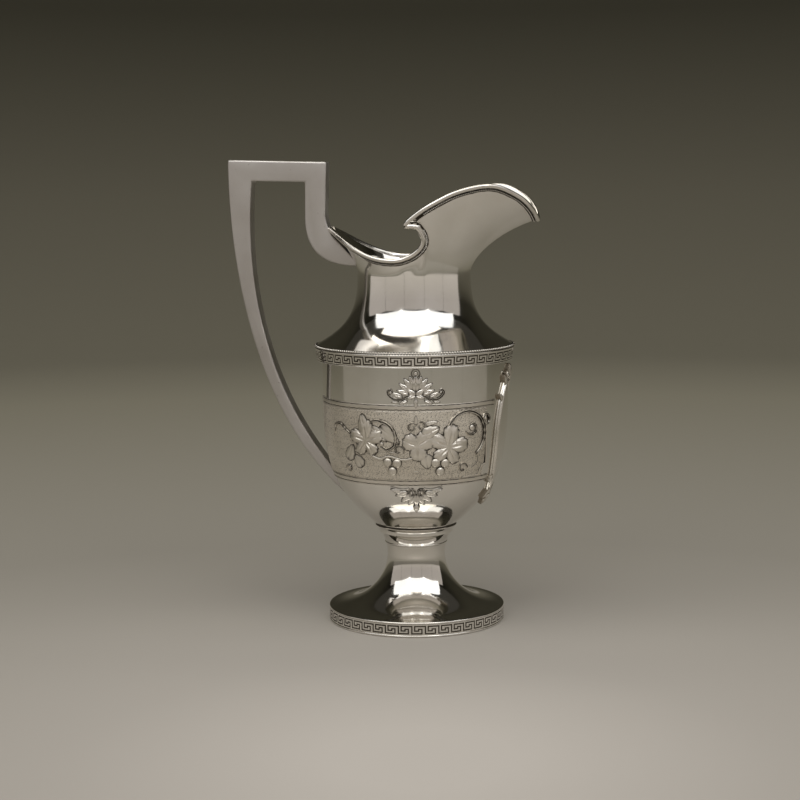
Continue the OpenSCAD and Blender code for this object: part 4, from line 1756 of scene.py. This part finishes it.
@dataclass
class SideOrnament:
    """The chased frieze and the two bright ornaments of the right side, with its mirror image."""

    finishes: Finishes
    surface: BowlSurface
    azimuth: float = -82.0
    leaf_relief: float = 2.4
    ground_pitch: float = 0.5

    def __post_init__(self) -> None:
        """Takes the panel's height from the frame."""
        self.panel_low = low("frieze_panel_right").z
        self.panel_high = high("frieze_panel_right").z
        self.mid_z = (self.panel_low + self.panel_high) / 2
        self.ground = 0.35
        self.chaser = Chaser()

    def lay(self, name: str, reliefs: Sequence[Object], z: float) -> Object:
        """Joins flat reliefs and lays them on the bowl."""
        return smooth(self.surface.wrap(joined(name, reliefs), self.azimuth, z), 50)

    def leaves(self) -> Object:
        """The vine leaves, in places across and up from the middle of the ornament.

        Returns:
            The leaves, as one piece.
        """
        c, base, h = self.chaser, self.ground, self.leaf_relief
        reliefs = [
            c.petal((-38.0, 14.5), 7.5, 4.6, 100, h * 0.7, base),
            c.vine_leaf((-36.0, 3.0), 14.0, 92, h, base),
            c.petal((10.0, 10.0), 7.0, 4.4, 25, h * 0.9, base),
            c.vine_leaf((0.5, 0.0), 12.0, 35, h * 0.8, base, 3),
            c.vine_leaf((22.5, -1.5), 15.0, 78, h, base),
            c.petal((7.0, -11.0), 5.5, 4.6, -80, h * 0.5, base),
            c.petal((-50.0, -6.5), 6.5, 4.4, 65, h * 0.4, base),
            c.petal((-42.5, -12.0), 5.5, 4.0, 130, h * 0.4, base),
            c.petal((-18.5, 7.5), 9.5, 4.4, -42, h * 0.4, base),
        ]
        return self.lay("frieze_leaves", reliefs, self.mid_z)

    def grapes(self) -> Object:
        """The two bunches of three grapes.

        Returns:
            The grapes, as one piece.
        """
        reliefs = []
        for x, y in ((-16.5, -12.0), (16.5, -12.4)):
            for dx, dy in ((-3.3, 0.5), (3.3, 0.0), (0.0, -5.8)):
                reliefs.append(self.chaser.boss((x + dx, y + dy), 3.4, 2.6, self.ground))
        return self.lay("frieze_grapes", reliefs, self.mid_z)

    def vines(self) -> Object:
        """The scrolls, tendrils and the stem that carry the leaves and grapes.

        Returns:
            The vines, as one piece.
        """
        c, base = self.chaser, self.ground
        big = arc((36.5, 7.5), 17.0, -62, 200, 36, 0.84)
        bent = [(-34, 16), (-27, 17.5), (-19, 14.5), (-14.5, 7.5), (-15.5, 0.5), (-20.5, -2.5), (-24.5, 0)]
        left = through(bent, 6)
        far_left = through([(-68, 5), (-66, 12.0), (-59.5, 13.0), (-54, 9.5), (-47.5, 5.5)], 5)
        stem = through([(-33.0, -6.5), (-26, -9.5), (-19, -7.5), (-10, -9.6), (-3, -8.6), (4.5, -6.0)], 6)
        curl = through([(-20, -10.5), (-21.5, -7.0), (-18, -4.6), (-13.5, -5.6), (-12.6, -9.0)], 5)
        reliefs = [
            c.scroll(big, 2.7, 1.5, base, (0.7, 0.3)),
            c.boss((41.0, 11.0), 2.2, 1.4, base),
            c.scroll(arc((41.0, 11.0), 5.4, 200, 480, 18, 0.5), 1.9, 1.2, base),
            c.scroll(left, 2.6, 1.4, base, (0.4, 0.6)),
            c.boss((-24.3, 1.0), 1.6, 1.0, base),
            c.scroll(far_left, 2.0, 1.2, base),
            c.tube(stem, 1.1, 0.8, base),
            c.tube(curl, 0.6, 0.45, base),
            c.scroll(arc((-12.0, -3.0), 4.0, -30, 300, 18, 0.35), 1.6, 1.1, base),
            c.scroll(arc((54, 16.5), 5.0, -120, 250, 18, 0.4), 1.7, 1.1, base),
            c.boss((54, 16.5), 1.4, 1.0, base),
            c.scroll(arc((33.5, -17), 4.0, 0, 320, 18, 0.35), 1.5, 1.0, base),
            c.scroll(arc((-52, -18.5), 3.2, 180, -140, 18, 0.35), 1.2, 0.9, base),
            c.petal((-26.0, 8.0), 8.0, 3.0, -42, 1.2, base),
            c.tube(through([(44, -7), (47, -10), (46, -14.5), (41, -17.5)], 5), 0.5, 0.3, base),
            c.scroll(arc((-2.8, 13.0), 3.2, 60, 400, 18, 0.4), 1.5, 1.1, base),
            c.scroll(arc((3.6, 14.0), 3.0, 120, -220, 18, 0.4), 1.5, 1.1, base),
            c.petal((0.0, 18.0), 3.4, 1.4, 90, 1.0, base),
            c.petal((10.5, 16.0), 5.0, 1.6, 12, 0.9, base),
            c.tube(arc((0, -20.5), 2.6, 180, -60, 10), 0.35, 0.3, base),
            c.tube(arc((31, -20), 2.2, 0, 290, 10, 0.4), 0.35, 0.3, base),
            c.tube(arc((-41, -21), 2.2, 180, -110, 10, 0.4), 0.35, 0.3, base),
        ]
        return self.lay("frieze_vines", reliefs, self.mid_z)

    def panel(self) -> Object:
        """The matted ground: a fine grid, punched all over.

        Returns:
            The ground of the frieze.
        """
        a0, a1 = border_ends("frieze_panel_right")
        rise = self.panel_high - self.panel_low
        cols = int(math.radians(a1 - a0) * self.surface.top_r / self.ground_pitch)
        rows = int(rise / self.ground_pitch)
        azimuths = np.linspace(a0, a1, cols + 1)
        heights = np.linspace(self.panel_low, self.panel_high, rows + 1)
        az, z = np.meshgrid(azimuths, heights)
        spots = [noise.noise((a * 1.9, b * 2.2, 0.0)) for a, b in zip(az.ravel(), z.ravel())]
        punched = np.array(spots).reshape(az.shape)
        proud = self.ground + 0.22 * punched
        edge = (np.arange(rows + 1)[:, None] % rows == 0) | (np.arange(cols + 1)[None] % cols == 0)
        proud = np.where(edge, 0.0, proud)
        panel = sheet("frieze_panel_right", self.surface.place(az, z, proud))
        # Painted shade, partly oxide: the low spots of the punched ground are darkened.
        mark_recess(panel, np.clip(0.12 - 0.9 * punched, 0, 0.7).ravel())
        apply_modifier(panel, "SOLIDIFY", thickness=0.3 * MM, offset=-1)
        return smooth(panel, 60)

    def edging(self) -> Object:
        """The line at the panel's near end with its two sunk corners, marked for the chased finish.

        Returns:
            The line.
        """
        a1 = border_ends("frieze_panel_right")[1]
        outer_x = math.radians(a1 - self.azimuth) * self.surface.top_r
        half = (self.panel_high - self.panel_low) / 2
        r = 7.5
        line = np.vstack([
            [(outer_x - r - 16, -half + 0.6), (outer_x - r - 3, -half + 0.9)],
            arc((outer_x - 1.2, -half + 1.0), r, 180, 92, 12)[1:],
            [(outer_x - 1.4, -half + r + 4), (outer_x - 1.4, half - r - 4)],
            arc((outer_x - 1.2, half - 1.0), r, -92, -180, 12),
            [(outer_x - r - 3, half - 0.9), (outer_x - r - 16, half - 0.6)],
        ])
        edging = self.lay("panel_edge", [self.chaser.tube(line, 0.55, 0.55, self.ground)], self.mid_z)
        set_index(edging, 1)
        return edging

    def palmette(self) -> Object:
        """The bright leafy palmette above the frieze.

        Returns:
            The palmette.
        """
        c, relief = self.chaser, 1.5
        reliefs = [
            c.boss((0, 15.6), 1.6, 1.2),
            c.scroll(arc((0, 15.6), 2.9, -80, 260, 20), 1.3, 1.1, 0, (1, 1)),
            c.petal((0, 8.6), 5.6, 2.9, 90, relief + 0.2, 0.25),
            c.petal((0, -5.4), 3.6, 1.4, -90, 1.0),
        ]
        for s in (-1, 1):
            reliefs += [
                c.petal((s * 2.8, 9.6), 4.6, 2.1, aside(74, s), relief, 0.2),
                c.petal((s * 5.2, 8.2), 5.2, 2.2, aside(56, s), relief, 0.15),
                c.petal((s * 7.8, 6.0), 4.8, 2.1, aside(38, s), relief, 0.1),
                c.petal((s * 8.8, 2.8), 4.6, 1.9, aside(16, s), relief, 0.05),
                c.petal((s * 3.0, 2.6), 3.6, 1.9, aside(40, s), relief, 0.3),
                c.petal((s * 3.2, -0.6), 3.4, 1.6, aside(-20, s), relief, 0.2),
                c.scroll(self.palmette_arm(s), 2.0, 1.4, 0, (0.6, 0.5)),
                c.boss((s * 17.4, 2.4), 1.1, 1.0),
                c.petal((s * 12.6, 0.8), 4.0, 1.5, aside(24, s), relief * 0.8),
                c.petal((s * 8.8, -4.2), 3.4, 1.3, aside(-22, s), relief * 0.7),
                c.petal((s * 14.4, -4.0), 2.8, 1.1, aside(-12, s), relief * 0.6),
            ]
        return self.lay("palmette", reliefs, self.panel_high + 10.3)

    def palmette_arm(self, side: int) -> Grid:
        """The line of one of the palmette's arms, with a volute at its end.

        Args:
            side: 1 for the near side, or -1 for the other.

        Returns:
            The line's points.
        """
        arm = [(1.2, -1.4), (5.5, 0.0), (9.5, -2.0), (14.0, -2.4)]
        volute = [(18.0, 0.0), (19.3, 2.6), (17.6, 4.4), (15.9, 2.8)]
        return through([(side * x, y) for x, y in (*arm, *volute)], 5)

    def pendant(self) -> Object:
        """The bright acanthus drop under the frieze, ending in a knob.

        Returns:
            The pendant.
        """
        c, relief = self.chaser, 1.4
        reliefs = [
            c.boss((0, -10.0), 2.4, 3.0),
            c.petal((0, -12.6), 2.2, 1.3, -90, 1.2),
            c.petal((0, -4.6), 4.6, 2.4, -90, relief, 0.25),
        ]
        for s in (-1, 1):
            start = aside(250, s)
            stalk = through([(s * 5, 4.2), (s * 9.0, 3.4), (s * 13.0, 4.0), (s * 18.2, 5.4)], 5)
            reliefs += [
                c.scroll(arc((s * 3.6, 1.4), 3.0, start, start - s * 400, 24, 0.4), 1.5, 1.2, 0, (0.8, 0.6)),
                c.boss((s * 3.6, 1.4), 1.1, 1.1),
                c.petal((s * 3.6, -4.6), 4.2, 2.1, aside(-62, s), relief, 0.2),
                c.petal((s * 7.2, -3.0), 4.6, 2.2, aside(-38, s), relief, 0.15),
                c.petal((s * 10.4, -0.2), 4.6, 2.1, aside(-14, s), relief, 0.05),
                c.petal((s * 14.0, 2.4), 4.6, 1.8, aside(16, s), relief),
                c.petal((s * 8.8, 1.8), 3.0, 1.2, aside(10, s), relief, 0.2),
                c.tube(stalk, 0.8, 0.5),
            ]
        return self.lay("pendant", reliefs, low("lower_border_right").z - 6.2)

    def build(self) -> list[Object]:
        """Builds and dresses both sides.

        Returns:
            The dressed pieces.
        """
        f = self.finishes
        made = []
        panel = joined("frieze_panel_right", [self.panel(), self.edging()])
        pairs = (
            (panel, "frieze_panel", Slot.MATTED, [f.matted, f.chased]),
            (self.leaves(), "frieze_leaves", Slot.CHASED, [f.chased]),
            (self.grapes(), "frieze_grapes", Slot.CHASED, [f.chased]),
            (self.vines(), "frieze_vines", Slot.CHASED, [f.chased]),
            (self.palmette(), "palmette", Slot.CHASED, [f.bright]),
            (self.pendant(), "pendant", Slot.CHASED, [f.bright]),
        )
        for piece, node, slot, finishes in pairs:
            piece.name = piece.data.name = f"{node}_right"
            twin = mirrored(piece, f"{node}_left")
            made.append(hand_over(piece, slot, finishes, f"{node}_right"))
            made.append(hand_over(twin, slot, finishes, f"{node}_left"))
        return made


@dataclass
class Cartouche:
    """The blank oval plate in its moulded frame under the spout."""

    finishes: Finishes
    surface: BowlSurface
    frame_w: float = 4.0
    half_w: float = 28.0
    segments: int = 96

    def __post_init__(self) -> None:
        """Takes the oval from the frame."""
        lowest, highest = low("cartouche_frame"), high("cartouche_frame")
        self.centre_z = (lowest.z + highest.z) / 2
        self.half_h = (highest.z - lowest.z) / 2

    def oval(self, a: Grid, inset: float) -> tuple[Grid, Grid]:
        """The frame's oval at angles in radians, moved inwards."""
        return (self.half_w - inset) * np.cos(a), (self.half_h - inset) * np.sin(a)

    def moulding(self) -> Object:
        """The oval frame: an outer fillet, a dark hollow and an inner bead.

        Returns:
            The moulding.
        """
        fillet = [(0.0, 0.05), (0.0, 0.9), (0.35, 1.5), (0.9, 1.6), (1.2, 1.2), (1.4, 0.9), (1.8, 0.85)]
        bead = [(2.1, 1.5), (2.6, 2.5), (3.1, 2.7), (3.6, 2.4), (3.95, 1.6), (self.frame_w, 0.05)]
        section = [*fillet, *bead, fillet[0]]
        a = np.linspace(0, TURN, self.segments + 1)
        rows = [np.stack([*self.oval(a, inset), np.full_like(a, h)], 1) for inset, h in section]
        piece = sheet("cartouche_frame", np.array(rows))
        # Painted shade, partly oxide: the hollow between fillet and bead and the frame's foot are darkened.
        sunk = [1.3 < inset < 1.9 or h < 0.1 for inset, h in section]
        mark_recess(piece, np.repeat(sunk, self.segments + 1))
        return close_up(piece)

    def crest(self) -> list[Object]:
        """The small scrolls and leaves that dress the frame's top, foot and sides.

        Returns:
            The flat reliefs.
        """
        c = Chaser()
        parts = []
        for up, s in ((up, s) for up in (-1, 1) for s in (0, -1, 1)):
            y = up * (self.half_h - 1)
            if s == 0:
                parts.append(c.petal((0, y + up * 0.5), 4.6, 3.0, 90 * up, 1.6, 1.8))
                continue
            parts.append(c.petal((s * 4.0, y - up * 0.6), 4.2, 2.1, (90 - s * 42) * up, 1.3, 1.5))
            eye = (s * 9.5, y - up * 2.2)
            parts.append(c.scroll(arc(eye, 2.8, 90 * up, 90 * up - s * up * 330, 18, 0.4), 1.5, 1.3, 1.6))
            parts.append(c.boss(eye, 1.1, 1.3, 1.8))
            for k, share in enumerate((0.86, 0.62)):
                place = (s * self.half_w * math.sqrt(1 - share**2), share * self.half_h * up)
                parts.append(c.petal(place, 4.4 - k, 1.9, (90 - s * (28 + 22 * k)) * up, 1.3, 1.6))
        return parts

    def build(self) -> list[Object]:
        """Builds and dresses the frame and the plate.

        Returns:
            The dressed pieces.
        """
        frame_piece = joined("cartouche_frame", [self.moulding(), *self.crest()])
        self.surface.wrap(frame_piece, 0, self.centre_z)

        def edge(a: Grid) -> tuple[Grid, Grid]:
            """The plate's oval, just under the frame."""
            return self.oval(a, self.frame_w - 0.1)

        def height(r: Grid, _: Grid) -> Grid:
            """A slight crown."""
            return 0.75 + 0.35 * (1 - r**2)

        plate = Chaser(rings=14).raised("cartouche_plate", (0, 0), edge, height, self.segments, 0.1)
        self.surface.wrap(plate, 0, self.centre_z)
        return [
            hand_over(smooth(frame_piece, 45), Slot.CHASED, [self.finishes.framed], "cartouche_frame"),
            hand_over(smooth(plate, 40), Slot.POLISHED, [self.finishes.polished], "cartouche_plate"),
        ]


# ---------------------------------------------------------------- studio


@dataclass(frozen=True)
class Softbox:
    """A soft rectangular light that also shows in the silver."""

    name: str
    place: tuple[float, float, float]
    aim: tuple[float, float, float]
    size: Point
    power: float
    colour: Colour

    def build(self) -> Object:
        """Hangs the light and turns it to its aim.

        Returns:
            The light.
        """
        light = bpy.data.lights.new(self.name, "AREA")
        light.shape = "RECTANGLE"
        light.size, light.size_y = self.size
        light.energy = self.power
        light.color = self.colour
        lamp = bpy.data.objects.new(self.name, light)
        lamp.location = self.place
        lamp.visible_camera = False
        lamp.rotation_euler = (Vector(self.aim) - Vector(self.place)).to_track_quat("-Z", "Y").to_euler()
        bpy.context.collection.objects.link(lamp)
        return lamp


@dataclass
class Studio:
    """The pale sweep the pitcher stands on, its soft lights and the camera, in metres.

    The sweep's colour stops are each a distance, a shade and the share of blue in it; the shades are painted
    light, a pool of light before the pitcher that falls off with distance and height.
    """

    view_turn: float = 8.0
    pitch: float = 0.125
    roll: float = 0.0095
    distance: float = 1.2843
    height: float = 0.3204
    aside: float = 0.0108
    lens: float = 81.0
    white: Colour = (1.0, 1.0, 1.0)
    warm: Colour = (1.0, 0.95, 0.86)
    cool: Colour = (0.97, 0.89, 0.83)
    room: Colour = (0.04, 0.037, 0.031)
    panel_turns: tuple[float, ...] = (-78, -39, 0, 39, 78)
    key_turns: tuple[float, ...] = (-54, 0, 54)
    key_reach: float = 1.55
    # Centre of the painted pool of light on the sweep, this far before the pitcher.
    light_pool_front: float = 0.32
    paper_green: float = 0.942
    # Stops of painted light on the sweep: brightest in the pool, darker with distance and height.
    paper_painted_light: tuple[Colour, ...] = (
        (0.05, 0.585, 0.87),
        (0.2, 0.465, 0.86),
        (0.6, 0.34, 0.82),
        (1.65, 0.36, 0.74),
        (3.27, 0.185, 0.72),
        (4.1, 0.06, 0.64),
    )
    paper_reach: float = 4.5
    flat_r: float = 1900.0
    bend_r: float = 900.0
    top_z: float = 2600.0

    def turned(self, x: float, y: float, z: float) -> tuple[float, float, float]:
        """Turns a place given across, away and up from the camera's side into the frame."""
        a = math.radians(self.view_turn)
        return x * math.cos(a) - y * math.sin(a), x * math.sin(a) + y * math.cos(a), z

    def camera(self) -> None:
        """Places the camera."""
        a = math.radians(self.view_turn)
        level = math.cos(self.pitch)
        ahead = Vector((-math.sin(a) * level, math.cos(a) * level, -math.sin(self.pitch)))
        right = ahead.cross(Vector((0, 0, 1))).normalized()
        up = right.cross(ahead)
        tilted_up = up * math.cos(self.roll) + right * math.sin(self.roll)
        tilted_right = right * math.cos(self.roll) - up * math.sin(self.roll)
        data = bpy.data.cameras.new("camera")
        data.lens = self.lens
        data.sensor_width = 36
        camera = bpy.data.objects.new("camera", data)
        turn = Matrix((tilted_right, tilted_up, -ahead)).transposed().to_4x4()
        turn.translation = self.turned(-self.aside, -self.distance, self.height)
        camera.matrix_world = turn
        bpy.context.collection.objects.link(camera)
        bpy.context.scene.camera = camera

    def sweep(self) -> Object:
        """The floor that curves up into the backdrop, the same all round.

        Returns:
            The sweep.
        """
        turn = np.linspace(0, math.pi / 2, 13)
        bend = np.stack([self.flat_r + self.bend_r * np.sin(turn), self.bend_r * (1 - np.cos(turn))], 1)
        flat = [(0.0, 0.0), (600.0, 0.0), (1200.0, 0.0)]
        floor = spun("sweep", [*flat, *bend, (self.flat_r + self.bend_r, self.top_z)], closed=False, steps=96)
        smooth(floor, 60)
        floor.data.materials.append(self.paper_finish())
        return floor

    def paper_finish(self) -> Material:
        """Builds the sweep's material, with a painted pool of light before the pitcher and painted falloff,
        darker with distance and height.

        Returns:
            The material.
        """
        made = bpy.data.materials.new("paper_painted_light")
        made.use_nodes = True
        tree = made.node_tree
        new, link = tree.nodes.new, tree.links.new
        shader = tree.nodes["Principled BSDF"]
        shader.inputs["Roughness"].default_value = 0.9
        place = new("ShaderNodeTexCoord").outputs["Object"]
        flattened = new("ShaderNodeVectorMath")
        flattened.operation = "MULTIPLY_ADD"
        flattened.inputs[1].default_value = (1, 1, 0)
        flattened.inputs[2].default_value = [-v for v in self.turned(0, -self.light_pool_front, 0)]
        radius = new("ShaderNodeVectorMath")
        radius.operation = "LENGTH"
        parts = new("ShaderNodeSeparateXYZ")
        reach = new("ShaderNodeMath")
        reach.operation = "MULTIPLY_ADD"
        reach.inputs[1].default_value = 1.5
        span = new("ShaderNodeMapRange")
        span.inputs["From Max"].default_value = self.paper_reach
        ramp = new("ShaderNodeValToRGB")
        stops = ramp.color_ramp.elements
        while len(stops) < len(self.paper_painted_light):
            stops.new(0.5)
        for stop, (at, _, _) in zip(stops, self.paper_painted_light):
            stop.position = at / self.paper_reach
        # The ramp paints the light: a pool before the pitcher, falling off with distance and height.
        for stop, (_, shade, blue) in zip(stops, self.paper_painted_light):
            stop.color = (shade, shade * self.paper_green, shade * blue, 1)
        link(place, flattened.inputs[0])
        link(place, parts.inputs[0])
        link(flattened.outputs["Vector"], radius.inputs[0])
        link(parts.outputs["Z"], reach.inputs[0])
        link(radius.outputs["Value"], reach.inputs[2])
        link(reach.outputs[0], span.inputs["Value"])
        link(span.outputs["Result"], ramp.inputs["Fac"])
        link(ramp.outputs["Color"], shader.inputs["Base Color"])
        return made

    def boxes(self) -> list[Softbox]:
        """The soft lights: panels round the front, a dim row under them, high keys and two from above.

        Returns:
            The lights to hang.
        """
        middle = (0, 0, 0.2)
        made = []
        for k, degrees in enumerate(self.panel_turns):
            a = math.radians(degrees)
            for name, z, rise, power in (("skirt", 0.075, 0.15, 0.03), ("panel", 0.5, 0.7, 0.62)):
                place = self.turned(math.sin(a), -math.cos(a), z)
                made.append(Softbox(f"{name}_{k}", place, (0, 0, z), (0.70, rise), power, self.cool))
        for k, degrees in enumerate(self.key_turns):
            a = math.radians(degrees)
            place = self.turned(self.key_reach * math.sin(a), -self.key_reach * math.cos(a), 2.0)
            made.append(Softbox(f"key_{k}", place, middle, (2.12, 1.2), 10.2, self.white))
        over, behind, wall = self.turned(-0.1, -0.38, 1.6), self.turned(0, 0.9, 2.3), self.turned(0, 2.6, 0.3)
        made.append(Softbox("overhead", over, middle, (1.5, 0.9), 7, self.warm))
        made.append(Softbox("back", behind, wall, (2.0, 0.8), 12, self.warm))
        return made

    def lights(self) -> None:
        """Hangs the soft lights and sets the dim surroundings."""
        for box in self.boxes():
            box.build()
        world = bpy.data.worlds.new("room")
        world.use_nodes = True
        world.node_tree.nodes["Background"].inputs["Color"].default_value = (*self.room, 1)
        world.node_tree.nodes["Background"].inputs["Strength"].default_value = 1.0
        bpy.context.scene.world = world
        bpy.context.scene.view_settings.view_transform = "Standard"

    def build(self) -> None:
        """Sets up the whole studio."""
        self.sweep()
        self.lights()
        self.camera()


def main() -> None:
    """Builds the pitcher's sub-assemblies in order, then the studio."""
    logging.basicConfig(level=logging.INFO, format="%(name)s: %(message)s")
    finishes = Finishes()
    surface = BowlSurface()
    mouth = Mouth()
    assemblies = (
        Foot(finishes),
        Collar(finishes),
        Bowl(finishes, surface),
        ShoulderBand(finishes),
        UpperBody(finishes, mouth),
        Rim(finishes, mouth),
        Handle(finishes, mouth, surface),
        SideOrnament(finishes, surface),
        Cartouche(finishes, surface),
    )
    for assembly in assemblies:
        for piece in assembly.build():
            LOG.info("%s: %s, %d faces", type(assembly).__name__, piece.name, len(piece.data.polygons))
    Studio().build()


if __name__ == "__main__":
    main()
